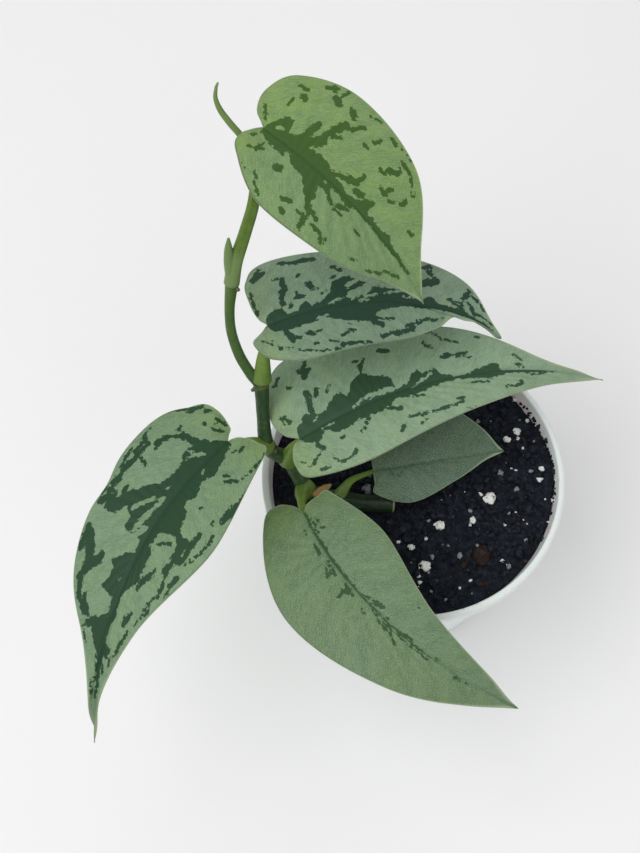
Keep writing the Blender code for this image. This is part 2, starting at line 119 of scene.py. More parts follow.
# Stem: x, y, z, radius and lightness of its green, darker on old growth, and darkest at the old cutting's end
# where that darkness is partly painted shade
STEM_SIDES = 28
STEM_FINE = 600
STEM = [
    (-5.2, -10.9, 85.2, 3.0, 0.04),
    (-14.5, -12.4, 85.2, 3.0, 0.06),
    (-23.6, -12.9, 85.8, 3.1, 0.15),
    (-29.5, -13.2, 87.0, 2.6, 0.28),
    (-34.6, -12.7, 89.6, 2.8, 0.36),
    (-38.4, -9.8, 93.8, 2.3, 0.34),
    (-41.7, -7.0, 98.0, 2.5, 0.38),
    (-48.5, -6.1, 104.0, 2.5, 0.34),
    (-51.3, 1.0, 113.0, 2.1, 0.26),
    (-53.0, 7.4, 121.0, 2.4, 0.30),
    (-56.6, 9.3, 124.8, 1.8, 0.50),
    (-60.5, 12.0, 131.2, 1.7, 0.55),
    (-63.4, 15.7, 138.6, 1.6, 0.56),
    (-64.4, 19.5, 146.0, 1.6, 0.58),
    (-64.2, 24.0, 154.8, 2.0, 0.60),
]
NODE_INDEX = (2, 4, 6, 7, 9, 14)
NODE_0, NODE_1, NODE_2, NODE_3, NODE_4, NODE_5 = (STEM[i][:3] for i in NODE_INDEX)
ROOT_STUBS = [(NODE_3, (0.9, -0.4, 0.2)), (NODE_4, (-0.8, -0.6, -0.1)), (NODE_5, (0.8, -0.6, 0.0))]
STUB_REACH = 3.3

# Blades
BLADE_THICKNESS = 0.60
EDGE_SHARE = 0.35
EDGE_REACH = 0.08
CAD_THICKNESS = 0.75
GAP = 0.3
BLADE_ROWS = 180
BLADE_RIBS = 40
MIDRIB_STEPS = 60
FOLD = 8.0
ARCH = 3.0
RIB_START = 2.2
RIB_SWEEP = 1.4
HOOK_START = 0.78
GROOVE_DEPTH = 0.34
GROOVE_WIDTH = 0.75
KEEL_DEPTH = 0.55
KEEL_WIDTH = 0.9
QUILT_DEPTH = 0.10
QUILT_SPACING = 6.5
RAGGED_SCALE = 1.3
RAGGED_DEPTH = 0.45
FIELD_REACH = 2.4
BASE_WARMTH = 0.7
MIDRIB_WIDTH = 0.55
VEIN_SLANT = 52.0


@dataclass
class Side:
    """Half of a blade's outline: width in mm, the rest as shares of the length or the width.

    Each dent is its place, depth and reach: shares of the length, the width and the length.
    """

    width: float
    lobe: float
    cheek: float
    belly: float
    shoulder: float
    acumen: float
    wave: float = 0.0
    waves: float = 3.0
    phase: float = 0.0
    dents: tuple = ()


@dataclass
class Marks:
    """How a blade's dark green shows between its silver, in mm from the stalk and from the midrib."""

    silver: tuple
    dark: tuple
    # warmth of each half; a half set less warm shows a painted cool sky sheen
    sheen_warmth_left: float
    sheen_warmth_right: float
    above: list
    below: list
    strokes: list
    gaps: list


@dataclass
class Leaf:
    """A blade: where it joins its stalk, its attitude in degrees, its length, hook, halves and marks."""

    base: tuple
    heading: float
    pitch: float
    droop: float
    sway: float
    roll: float
    twist: float
    length: float
    hook: float
    left: Side
    right: Side
    marks: Marks


# Each blade's dark markings: the midrib band's edges above and below the midrib as (along, out) points,
# then strokes of dark green and gaps of silver as (along, out, along, out, width), all in mm
MARKS = {
    "leaf_1": Marks(
        silver=(117, 146, 98),
        dark=(56, 87, 38),
        sheen_warmth_left=0.75,
        sheen_warmth_right=0.25,
        above=[
            (0, 1), (2, 6), (3.5, 8), (5.5, 8), (6.5, 3), (8, 4), (9.5, 6), (12, 4), (14, 3.5), (15.5, 4.2),
            (20, 4.2), (22, 3), (25, 1.8), (32, 1.2), (36, 2), (37.5, 4.5), (39, 1.2), (46, 1.2),
            (48.5, 2.4), (49.5, 0.8), (60, 0.5), (63, -0.3),
        ],
        below=[
            (0, -2.5), (2, -4), (6, -4.4), (12, -4.6), (14, -5.4), (18, -5.8), (20, -5), (24, -4.6),
            (27, -3.4), (29, -1.2), (33, -1.6), (36, -1), (50, -1.2), (60, -0.5), (63, 0.3),
        ],
        strokes=[
            (10, 4, 11.4, 12, 2.2), (11, 3, 15, 8, 3.4), (14.8, 8, 15.4, 13, 2.0),
            (15.6, 14, 17.4, 18, 3.0), (17.5, 17.4, 19.6, 18, 1.6), (20, 20, 22, 22, 1.5),
            (16.4, 12, 18.6, 13.4, 1.8), (24, 2.5, 28.5, 5, 1.9), (28.5, 4, 31, 5.6, 1.4),
            (30, 5, 31, 8.4, 2.0), (32, 3.2, 34.4, 3.6, 2.2), (35.6, 2, 37.8, 4.4, 2.4),
            (6, 25, 8, 27.5, 1.7), (8, 26, 10.4, 24.6, 1.1), (10, 24, 11.5, 22.8, 2.3),
            (10.6, 25, 11.6, 29.4, 1.3), (15.6, 24, 17.4, 22.6, 2.3), (20.6, 27, 24, 28.2, 1.1),
            (26.4, 20, 27.4, 22.4, 1.4), (24.6, 17, 26, 17.1, 1.4), (29.6, 26, 31.4, 25.2, 1.4),
            (33.6, 25.8, 37.6, 25.2, 0.9), (36, 22.2, 40, 21.2, 1.3), (40, 21.4, 45, 16.6, 1.1),
            (36.6, 19.8, 38, 19.3, 0.9), (32.6, 14.5, 34.6, 14.8, 1.5), (35, 16.4, 37, 18, 2.3),
            (37, 10, 39, 10, 1.8), (38.4, 10.6, 39, 12.6, 1.4), (44, 11.6, 44.4, 13.4, 1.8),
            (41, 9.4, 42.4, 10, 1.1), (51.6, 8, 52.6, 8, 1.5), (-0.5, 19.5, 2, 19.8, 1.5),
            (2.6, 17.4, 3.5, 16.4, 2.1), (0.8, 14.5, 0.8, 11, 0.7), (-4.4, 7, -1, 2.4, 1.0),
            (20, -5, 23, -9, 4.2), (22, -9, 26, -14, 2.1), (25, -12.5, 29, -14, 1.5),
            (23.6, -16.3, 27, -16, 1.2), (26.5, -16.4, 27, -19.6, 2.0), (25, -3, 29.4, -6, 1.5),
            (30, -1, 33.4, -2, 1.8), (31, -5.2, 34, -3.5, 1.8), (30.6, -6.8, 33.4, -6.4, 1.0),
            (-1, -5.2, -0.6, -4.2, 1.4), (0, -9.5, 2.5, -9, 0.9), (2.6, -8.4, 3, -5, 0.9),
            (3.3, -7.6, 4.6, -7, 1.3), (10.5, -9.6, 11.4, -9.2, 2.6), (2.6, -15.8, 4, -16.4, 0.8),
            (6.6, -15, 9, -17, 0.9), (8.6, -18, 12, -20.4, 1.0), (17.6, -16.4, 20, -15.6, 1.6),
            (19.8, -19.5, 20.6, -19.7, 1.7), (29.6, -16.2, 35, -16.4, 1.1), (33.4, -17, 34.6, -18, 1.4),
            (39.6, -6.3, 41.4, -6.6, 1.2), (43, -14.8, 46, -13, 0.9), (50, -12.2, 54.4, -8, 0.9),
            (54, -7, 59.4, -3.6, 0.9),
        ],
        gaps=[
            (0.8, -3.2, 2.4, -4.6, 1.4), (10.4, -3.2, 12, -5, 1.6), (23.4, -1.6, 24.2, -1.9, 0.7),
            (26.4, -1.8, 29, -3.6, 1.3), (3, 2.6, 4.4, 3.2, 0.9),
        ],
    ),
    "leaf_2": Marks(
        silver=(122, 146, 121),
        dark=(35, 63, 48),
        sheen_warmth_left=0.05,
        sheen_warmth_right=0.05,
        above=[
            (0, 1.5), (2, 3.6), (4, 4.5), (6, 4), (7, 1.2), (10.6, 1.2), (11.6, 3), (13.6, 4), (15, 2),
            (17.6, 2.2), (20, 3.6), (21.4, 5), (22.4, 8), (24, 9.5), (28, 10), (31, 8), (34, 5.6),
            (40, 4.8), (46, 3.2), (50, 1.4), (52, 3), (54, 2.8), (56, 1), (60, 1.5), (64, 2.2), (67, 1),
            (74, 0.5), (78, 0),
        ],
        below=[
            (0, -1.4), (1.4, -4.4), (5, -5), (6.6, -5), (13, -4.8), (15.6, -4.6), (17, -3), (19, -4.6),
            (22, -5.8), (26, -7.4), (33, -7.6), (34.6, -4.6), (36.4, -3.4), (40, -2.6), (43, -1.6),
            (50, -1.3), (58, -0.8), (66, 0),
        ],
        strokes=[
            (-1.6, 5, -1, 13, 1.1), (1.4, 17.6, 4.8, 19.4, 2.2), (3, 20, 4, 21.4, 1.3),
            (10, 21, 14, 20, 1.5), (13, 20, 19, 19.4, 2.0), (6.6, 15.2, 9.4, 14.6, 0.9),
            (9, 14.6, 8.5, 10, 1.7), (8, 10, 6.6, 5, 1.7), (13.6, 13.9, 14.4, 14.4, 1.3),
            (15.8, 10, 16.4, 8, 1.9), (16, 8, 17.8, 7.4, 1.0), (11, 6, 13.6, 5.5, 0.9),
            (12.4, 6, 11.4, 8, 0.8), (9.6, 5.2, 8.4, 3, 0.9), (23, 10, 24, 10.7, 1.1),
            (19, 5, 20.4, 6, 0.9), (24, 14.5, 26, 12.6, 1.4), (30, 14.8, 33, 15.6, 1.2),
            (36, 11, 39.4, 9.4, 1.6), (41, 13.4, 44, 12.4, 1.3), (50, 12.8, 52, 14, 1.5),
            (50.2, 7.6, 54, 9, 2.7), (51, 13, 53.4, 10, 1.5), (58.6, 4, 63, 3.8, 1.0),
            (60, 3, 64, 2.4, 1.4), (63.6, 5.6, 65, 8.8, 1.8), (66, 8, 73, 4.6, 0.9), (66, 4.8, 68, 2, 1.5),
            (69, 2.6, 75, 2, 0.9), (5, -6, 5.6, -9, 2.3), (-3.6, -6, -0.6, -6.9, 0.7),
            (-2.4, -7, 0, -9, 0.8), (0.6, -10, 4.4, -11.3, 0.8), (6, -8.6, 8.4, -9.2, 1.0),
            (11, -8.4, 13, -9.5, 1.5), (13, -9, 15.6, -8.8, 1.0), (12, -13, 13, -13.2, 1.3),
            (17, -13.5, 19.4, -14, 1.2), (21.6, -12.2, 25, -11, 1.3), (24, -10.2, 26.6, -10.7, 1.0),
            (24.4, -8, 26, -8.4, 0.8), (33, -8, 36, -9, 2.1), (34, -6.8, 39.6, -6.5, 1.2),
            (35, -13.4, 41, -11, 1.3), (41, -11.8, 47, -9, 1.7), (44, -9, 49, -6.4, 1.4),
            (49, -6.4, 52, -4.6, 0.9), (13, -16.4, 20, -16.9, 0.8), (21, -15.7, 25, -15.5, 1.6),
            (25, -15.5, 31, -15.2, 1.0), (6, -13, 12, -15.8, 0.7), (53, -5, 57, -3.5, 0.8),
        ],
        gaps=[
            (27, 6.2, 29.4, 7.8, 1.6), (27.6, 2.6, 33, 5, 2.9), (32, 2, 35.4, 2.4, 0.7),
            (38, 3, 42, 3.7, 0.6), (22.6, 1.5, 25, 2.3, 0.8), (20, 0.9, 22, 1.4, 0.7),
            (15.4, -4, 18.6, -3.2, 1.0), (44, 2.2, 47, 2.0, 0.6), (30, 0.6, 33, 0.9, 0.5),
        ],
    ),
    "leaf_3": Marks(
        silver=(130, 155, 127),
        dark=(43, 71, 49),
        sheen_warmth_left=0.0,
        sheen_warmth_right=0.25,
        above=[
            (0, 0.5), (1, 3.5), (3, 4.5), (5, 6.4), (7, 5), (10, 3.4), (12, 4), (14, 5.6), (16.4, 7.6),
            (18.4, 7), (19.6, 5), (21, 6), (22, 8.4), (24, 10), (26.4, 11), (28.4, 9), (31, 7.6),
            (33.6, 6.4), (34.6, 5), (35, 1), (38, 1.4), (40, 2.6), (41.4, 4.6), (43.4, 5.3), (44.4, 3.2),
            (47, 4.2), (49, 4), (50, 1.4), (53, 1), (54, -0.6), (58, -0.2), (61, 1), (64, 1.6), (66, 2.4),
            (67.4, 3), (69, 2.2), (70, -0.4), (78, -0.5), (84, -0.6), (90, 0),
        ],
        below=[
            (0, -1), (1.4, -3), (3, -4.4), (6, -4.8), (7.6, -3), (9, -2.2), (11, -4.6), (13, -5.4),
            (18, -5.3), (20, -4.4), (24, -5), (28, -5), (32, -3.8), (34, -2.5), (38, -3.4), (42, -3.3),
            (46, -2.4), (50, -1.8), (55, -1.4), (60, -2.2), (66, -3), (70, -2), (72, -1.4), (80, -1.2),
            (90, -0.4),
        ],
        strokes=[
            (1, 20.4, 3, 22.4, 1.4), (12.6, 24, 12, 22, 1.1), (9.8, 20.6, 12.4, 20, 2.4),
            (11, 20, 10.6, 18, 2.1), (4.5, 17.4, 5.4, 17, 1.6), (8.8, 12.8, 7.6, 6, 1.8),
            (11, 10.2, 12, 12, 1.5), (14.6, 9.6, 16, 11.3, 0.9), (-2.4, 10, -1.8, 7, 0.9),
            (-1, 9, -0.2, 6.6, 1.5), (26.5, 10, 27, 13.5, 1.2), (26, 15.6, 29, 15, 1.0),
            (27, 13, 28.5, 15, 1.3), (34.2, 16, 36.4, 15.3, 1.9), (46, 18.4, 51, 18, 1.2),
            (51, 18, 53.4, 14.6, 1.0), (53.4, 14.6, 58, 12, 1.0), (48, 15, 48.5, 13, 1.5),
            (49, 12.6, 50, 12, 1.2), (52.5, 7.6, 54.5, 7.6, 2.0), (54.5, 7.1, 60, 7.5, 1.0),
            (57.6, 7.3, 59.4, 7.5, 1.5), (60, 6, 61, 5, 0.9), (64, 13, 65.4, 12.5, 1.2),
            (75, 5.3, 77, 3.4, 1.1), (75.5, 2, 77.2, 0.8, 1.1), (18, 25.4, 21, 24.4, 1.5),
            (27, 24, 30, 22.4, 1.8), (36, 22.2, 41, 21.6, 1.3), (30, -5, 34.4, -6.6, 1.2),
            (23.4, -5.4, 20.6, -8, 1.2), (20.6, -8, 19, -9, 0.9), (4.4, -6, 5.6, -8, 1.7),
            (4, -9, 1, -10.3, 0.8), (0.6, -10.8, -2, -11.2, 0.9), (-2.8, -8, -2, -9, 0.8),
            (1, -14, 4.4, -14.8, 0.9), (7, -12.6, 9, -15, 0.8), (9, -15.3, 12.4, -15, 0.9),
            (13.4, -14.8, 15, -13.6, 1.4), (12.5, -7.8, 13.3, -7.6, 0.9), (35.6, -10.5, 40, -10.9, 1.0),
            (40, -11, 47, -11.3, 1.0), (47, -11, 54, -10.5, 1.2), (31.5, -14, 33, -12.6, 1.4),
            (39, -13.7, 41, -13.3, 0.7), (39.6, -4, 42.4, -4.2, 0.7), (52.6, -9, 54.6, -8.8, 0.9),
            (59, -3.8, 64.6, -4.3, 0.8), (69.6, -7.1, 74, -6.5, 1.0), (74, -6.5, 76, -4.7, 1.4),
            (79, -1.8, 84, -1.5, 0.7), (55, -13, 58, -12.6, 0.7),
        ],
        gaps=[
            (20, 0.6, 25, 2.1, 0.9), (25, 2, 33.6, 1.6, 1.7), (40, -0.3, 47, 2.6, 0.9),
            (7, 2.6, 9, 3.4, 0.6), (8, -1, 12, -1.4, 0.5),
        ],
    ),
    "leaf_4": Marks(
        silver=(114, 141, 109),
        dark=(33, 64, 42),
        sheen_warmth_left=0.3,
        sheen_warmth_right=0.15,
        above=[
            (0, 1.4), (2, 3), (4, 3.5), (5.4, 4.8), (8, 5), (10, 6.3), (12.4, 6.5), (14, 5.4), (17, 4.6),
            (18.6, 6), (21, 7), (23, 6), (25, 4.8), (26.4, 5.4), (27, 8), (30, 8.5), (33, 9.5), (35, 10.3),
            (37, 3), (41, 3.2), (44, 4.5), (47, 4.8), (51, 4.8), (54, 5), (56, 3), (58, 1.5), (61, 0.6),
            (63, 1), (66, 2), (69, 0.8), (72, 0.3), (75, 0), (77, 2.6), (79, 2), (80, 0.5), (90, 0.3),
            (96, 0),
        ],
        below=[
            (0, -0.5), (2, -3), (4, -4), (5, -6.5), (6.4, -8), (8, -7.8), (10, -8), (13, -7.5), (15, -6),
            (17, -5.8), (20, -6), (22, -6.5), (24, -7), (25, -9.3), (27, -11), (29, -12.4), (32, -13.5),
            (34, -13), (36, -11.4), (37, -9), (40, -9.4), (41.4, -8.4), (42, -1.6), (46, -1.3), (47, -4),
            (48, -5), (50, -6), (51, -9), (52, -7), (53, -6), (56, -6), (59.6, -8), (60.6, -5), (61.4, -2),
            (66, -1.8), (68, -4), (70, -6), (72.6, -6.5), (75, -5), (77, -3.5), (79, -2), (82, -1.2),
            (88, -0.8), (96, -0.4),
        ],
        strokes=[
            (35, 10, 37.4, 13, 2.6), (31.6, 16.4, 34, 15.6, 1.8), (34, 16, 42, 15.4, 2.1),
            (36, 13, 42, 13.4, 3.4), (42, 13.4, 47, 12, 2.2), (46, 13, 55, 13.8, 1.3),
            (56, 12.6, 61, 10.6, 1.1), (38.6, 9, 40.2, 5, 1.2), (48, 8.6, 51, 8.4, 1.4),
            (50, 8, 54, 6, 1.9), (52, 6, 55, 6, 1.8), (62, 7, 64, 7, 0.8), (65, 6.2, 67, 5.5, 2.3),
            (76.6, 2.5, 79.4, 2, 1.4), (80, 4, 82, 3.6, 1.1), (77.6, 4.5, 79, 4, 0.8),
            (83, 1.5, 85, 1.5, 1.4), (6, 19.2, 9, 19.8, 1.2), (9, 20, 14, 20, 1.7),
            (16, 20.2, 20, 20.5, 1.3), (17.6, 19, 24, 19.3, 1.0), (25, 17.3, 26.4, 17.5, 1.2),
            (29, 20.3, 33, 20.3, 1.1), (31, 21, 40, 18.8, 1.1), (38, 19, 42, 17.5, 0.9),
            (-2, 14.8, 4.4, 15.4, 0.9), (6, 15.4, 9.4, 14.6, 1.0), (9.4, 14.6, 12, 11.6, 1.5),
            (10, 11, 10.6, 9.6, 1.0), (23.6, 11, 24, 10.5, 1.0), (-1.5, 6, 0.5, 7, 1.1),
            (1, 5.5, 3, 4.5, 0.9), (47, 17, 50, 16, 1.9), (50, 16.4, 54, 15.8, 1.1),
            (60, 12.4, 66, 9.6, 0.8), (69, 8, 77, 5.4, 1.1), (6.6, -5, 7.6, -13, 2.3),
            (7.6, -13, 9, -14.5, 1.1), (8, -14, 10, -16.8, 1.1), (10.6, -17, 14, -18.5, 2.4),
            (13, -17.6, 16, -17, 1.6), (5.5, -16.8, 7.4, -17, 0.9), (7, -13.5, 6.6, -17, 0.9),
            (29, -10, 33, -13, 3.6), (32, -13, 37, -16.4, 4.2), (30, -16.3, 34, -15.5, 1.3),
            (33, -18, 38, -19, 1.4), (35, -19.5, 37.4, -21.6, 2.6), (27.6, -20, 35, -20.5, 1.1),
            (70, -5, 72, -8, 2.8), (69, -9.5, 66, -12.4, 2.2), (64, -12.6, 70, -11, 1.4),
            (73.6, -10, 78, -7, 0.8), (88, -1.9, 93, -1.3, 0.7), (51, -12, 55, -13, 2.0),
            (54, -14, 58, -15.4, 2.8), (48, -19, 52, -16.6, 3.6), (45.4, -21.2, 52, -20.6, 2.4),
            (50, -17, 56, -16, 1.8), (57, -16.5, 66, -14.6, 1.5), (15, -22.5, 20, -22, 1.5),
            (20, -21, 27, -21.4, 1.5), (28, -21.4, 35, -22.8, 1.2), (1, -24, 4, -24.6, 1.0),
            (20.6, -18.5, 22, -15.6, 1.3), (-3, -8, -1, -7, 0.9), (0.5, -10.6, 1, -9.8, 0.9),
            (-1, -17, 0.5, -19, 1.5), (-4, -5, -3, -8.5, 1.4), (-1.5, -4, 0.5, -7, 1.2),
            (3.5, -2, 5, -6, 0.9), (-4, -12, -2, -14.5, 1.2), (-3, -16, -1, -19.5, 1.8),
            (0, -20, 2.5, -24, 1.4), (16, -20.5, 26, -20.5, 1.8), (26, -20.5, 37, -20.8, 1.4),
            (20, -24, 26, -22.5, 1.2), (12, -24.5, 16, -23.5, 1.0), (47, -19.5, 54, -15.5, 3.4),
            (53, -12, 55, -16, 3.2), (60, -17, 66, -14.5, 2.0), (66, -14, 69, -11.5, 1.8),
            (17, 20.8, 24, 20.4, 1.8), (-5, 13, -3, 14.5, 0.9),
        ],
        gaps=[
            (8.6, -2.6, 10, -4.6, 1.5), (11, -4.5, 13, -5.6, 0.9), (9.6, -6.2, 10.6, -6.8, 0.7),
            (28.4, -5.6, 34.4, -9.8, 1.5), (27, -2.8, 33, -4, 1.4), (33, -4, 40, -5.6, 1.7),
            (38, -2.6, 46, -6, 2.2), (13, 2, 14, 2.6, 0.5), (40, 4, 42, 2.4, 0.6),
            (23, -3.6, 24, -3.9, 0.5), (55, -2, 56.4, -2.3, 0.5), (60, -13.4, 63.6, -14, 1.4),
        ],
    ),
    "leaf_5": Marks(
        silver=(101, 126, 92),
        dark=(50, 77, 46),
        sheen_warmth_left=0.1,
        sheen_warmth_right=0.3,
        above=[
            (0, 0.4), (3, 0.5), (10, 0.5), (15, 0.8), (20, 0.7), (36, 0.45), (46, 0.2), (56, 0.1),
            (62, -0.3),
        ],
        below=[(0, -0.3), (10, -0.1), (40, -0.1), (46, -0.6), (60, -0.5), (66, -0.3)],
        strokes=[
            (4.4, 2.5, 7, 3, 0.7), (8.6, 2.5, 9.6, 4, 0.6), (4, 1.2, 10, 1.4, 0.8),
            (12.6, -1.8, 16.4, -2.1, 1.0), (20, -1.1, 25, -1.9, 0.9), (20.6, -2, 24.6, -4.8, 0.8),
            (21.6, -1.6, 24.6, -3.6, 1.0), (30, -1.5, 33.4, -2, 1.3), (30.4, -2, 31, -5.5, 1.0),
            (31, -3, 33, -2, 0.9), (35.6, 0.6, 40, 2, 0.9), (40, 1.6, 43, 2.5, 1.5),
            (39, -2.8, 40.4, -2.8, 0.8), (44.6, -1.8, 48.4, -2, 0.9), (50, -2.1, 53, -3.5, 0.9),
            (45.6, 0.8, 47, 0.6, 0.5), (52, 0.3, 56.4, 0.4, 0.7), (65, 0.8, 67, 0.7, 0.6),
            (42, -0.8, 65, -1.3, 0.5), (73, -1.2, 74.4, -1.2, 0.8), (74.4, -0.7, 78, -0.8, 0.5),
            (30, 1.6, 31, 1.6, 0.7), (51, 9.6, 52, 9.4, 0.6), (6.6, -2.3, 8, -2.5, 0.7),
        ],
        gaps=[],
    ),
    "leaf_6": Marks(
        # leaf_6 lies under leaf_3; its silver and dark are set darker than the other leaves' as painted shade
        silver=(84, 106, 86),
        dark=(70, 94, 70),
        sheen_warmth_left=0.1,
        sheen_warmth_right=0.0,
        above=[(0, 0.2), (30, 0.1), (46, 0)],
        below=[(0, -0.2), (30, -0.1), (46, 0)],
        strokes=[
            (5, -1.5, 8.4, -3.3, 0.6), (8.4, -3.1, 11, -1, 0.6), (12, 8, 14, 9.4, 0.6),
            (20, 10, 22, 9.6, 0.5),
        ],
        gaps=[],
    ),
}

# Leaves: base, heading, pitch, droop, sway, roll, twist and length, the hook of its tip, then the two halves
LEAVES = {
    "leaf_1": Leaf(
        (-60.0, 58.0, 188.0), -23, -11, 40, -12, -11, 5, 72.0, 8,
        Side(30.5, 0.10, 0.75, 0.20, 0.80, 0.25, 0.5, 3.0, 0.5),
        Side(22.5, 0.05, 0.60, 0.20, 0.85, 0.35, 0.6, 3.0, 2.0),
        MARKS["leaf_1"],
    ),
    "leaf_2": Leaf(
        (-52.5, 19.0, 141.0), 33, 6, 40, -38, -10, 10, 80.0, 18,
        Side(24.0, 0.03, 0.75, 0.10, 0.75, 0.50, 0.6, 3.0, 1.0),
        Side(18.0, 0.08, 0.70, 0.15, 0.75, 0.15, 1.2, 3.5, 2.6, ((0.76, 0.13, 0.035),)),
        MARKS["leaf_2"],
    ),
    "leaf_3": Leaf(
        (-38.0, -5.0, 113.0), 39, 16, 42, -31, -6, -1, 107.0, 0,
        Side(28.0, 0.05, 0.70, 0.10, 0.70, 0.15, 0.5, 3.0, 0.0),
        Side(18.5, 0.05, 0.80, 0.20, 0.70, 0.30, 0.6, 3.0, 1.5),
        MARKS["leaf_3"],
    ),
    "leaf_4": Leaf(
        (-60.0, -11.5, 116.0), -124, 3, 56, 41, 15, 9, 112.0, 0,
        Side(23.0, 0.05, 0.65, 0.30, 0.45, 0.10, 0.6, 3.0, 0.8),
        Side(26.0, 0.05, 0.75, 0.10, 0.80, 0.15, 1.3, 4.0, 0.4, ((0.29, 0.07, 0.055), (0.68, 0.045, 0.07))),
        MARKS["leaf_4"],
    ),
    "leaf_5": Leaf(
        (-32.5, -26.0, 103.0), -58, 17, 53, 54, 15, 0, 98.0, 0,
        Side(18.5, 0.03, 0.60, 0.25, 0.60, 0.30, 0.4, 3.0, 0.0),
        Side(23.0, 0.07, 0.60, 0.25, 0.70, 0.30, 0.5, 3.0, 2.0),
        MARKS["leaf_5"],
    ),
    "leaf_6": Leaf(
        (-13.5, -3.5, 93.0), 17, 8, 25, 8, 11, 4, 46.0, 0,
        Side(22.5, 0.0, 0.60, 0.35, 0.75, 0.40, 0.3, 2.0, 0.0),
        Side(12.5, 0.0, 0.65, 0.25, 0.60, 0.20, 0.3, 2.0, 1.0),
        MARKS["leaf_6"],
    ),
}

# the dry scale that lies across the stem's foot
BRACT_BASE = (-31.6, -15.4, 91.2)
BRACT_HEADING = 42.0
BRACT_RISE = 0.16
BRACT_LENGTH = 7.2
BRACT_HALF_WIDTH = 1.3
BRACT_THICKNESS = 0.28
BRACT_ROWS = 26
BRACT_RIBS = 8

# Petioles: x, y, z and radius
PETIOLES = {
    1: [(*NODE_5, 2.1), (-63.5, 27.6, 161.0, 2.1), (-61.2, 33.3, 170.0, 1.9), (-59.6, 39.3, 177.2, 1.8),
        (-60.0, 48.0, 182.6, 1.6)],
    2: [(-52.8, 8.6, 123.2, 2.7), (-52.8, 10.4, 126.6, 2.55), (-52.9, 12.6, 130.4, 2.1),
        (-52.6, 14.4, 134.0, 1.7)],
    3: [(*NODE_2, 2.9), (-41.3, -6.8, 101.6, 2.6), (-40.6, -6.4, 105.6, 1.8), (-39.8, -6.0, 108.4, 1.4)],
    4: [(*NODE_3, 2.6), (-52.8, -7.6, 109.0, 1.9), (-57.0, -9.8, 111.8, 1.4)],
    5: [(*NODE_1, 3.1), (-35.2, -15.6, 92.6, 2.7), (-34.6, -19.2, 96.2, 1.8), (-34.0, -22.0, 98.4, 1.4)],
    6: [(*NODE_0, 3.0), (-22.2, -10.4, 88.8, 1.9), (-20.4, -7.6, 90.4, 1.3), (-17.4, -5.4, 91.0, 0.95)],
}
PETIOLE_END_RADIUS = {1: 1.4, 2: 1.3, 3: 1.3, 4: 1.3, 5: 1.3, 6: 0.8}
PETIOLE_SIDES = 24
SHEATH_LENGTH = 13.0
# the free tip of petiole 1's sheath
LIGULE = [
    (-64.5, 25.6, 158.4, 1.9), (-65.2, 27.4, 162.4, 1.7), (-65.5, 29.0, 166.4, 1.25),
    (-65.6, 30.4, 169.8, 0.4),
]
# the rolled youngest leaf
SPEAR = [
    (-60.1, 47.0, 182.1, 1.0), (-62.4, 50.4, 184.4, 1.0), (-65.4, 54.2, 186.6, 1.0),
    (-69.4, 56.2, 190.2, 1.0), (-72.4, 57.6, 193.8, 0.9), (-73.9, 59.0, 197.0, 0.7),
    (-74.0, 60.7, 199.4, 0.5), (-73.7, 61.6, 200.4, 0.35),
]

# Rounded tube ends: how far out as shares of the dome, and how wide as shares of the radius
CAP_STEPS = ((1.0, 0.35), (0.75, 0.75))

# Colours, in display values of eight bits; pairs are the two tones that a noise mixes
# GLINT is the colour of painted glints on the silver satin
GLINT = (190, 206, 186)
BLADE_RIM = (160, 176, 142)
UNDER_TONES = (104, 132, 96), (126, 150, 114)
UNDER_MIDRIB = (138, 160, 112)
EDGE_TONES = (142, 160, 122), (176, 190, 156)
STEM_TONES = (20, 38, 22), (36, 62, 32), (62, 92, 44), (86, 114, 38), (116, 142, 62)
STEM_PALE = (112, 136, 82)
STEM_SPECK = (150, 164, 108)
STEM_SCAR = (128, 104, 66)
CUT_TONES = (108, 96, 66), (176, 170, 128)
DRY_TONES = (112, 84, 52), (178, 146, 98)
SOIL_TONES = (9, 14, 24), (33, 41, 52)
SOIL_FLECK = (104, 84, 66)
CRUMB_TONES = (10, 15, 26), (42, 49, 60)
BARK_TONES = (30, 22, 20), (62, 44, 34)
FIBRE_TONES = (52, 50, 50), (108, 106, 104)
PERLITE_TONES = (238, 238, 234), (104, 100, 96)
GRIT_TONES = (136, 138, 140), (56, 56, 60)
POT_TONES = (226, 233, 232), (240, 243, 242)
POT_DIRT = (96, 88, 80)

# Studio: the floor's half width and grey, the sky's strength, and each lamp's place, size in metres and watts
FLOOR_HALF = 3.0
FLOOR_GREY = 0.94
SKY_STRENGTH = 0.46
LAMP_TARGET = (0.0, 0.0, 0.1)
LAMPS = {
    "key": ((-0.5, -0.35, 1.1), 0.9, 7.6),
    "fill": ((0.8, -0.6, 0.8), 1.1, 2.0),
    "back": ((0.1, 0.9, 0.9), 1.0, 1.9),
}


def rgba(colour):
    """Linear colour with full alpha from an 8-bit display colour."""
    shares = [c / 255.0 for c in colour]
    return (*(c / 12.92 if c <= 0.04045 else ((c + 0.055) / 1.055) ** 2.4 for c in shares), 1.0)


def tinted(colour, red, green, blue):
    """A display colour shifted by some steps, as a linear one."""
    return rgba((colour[0] + red, colour[1] + green, colour[2] + blue))


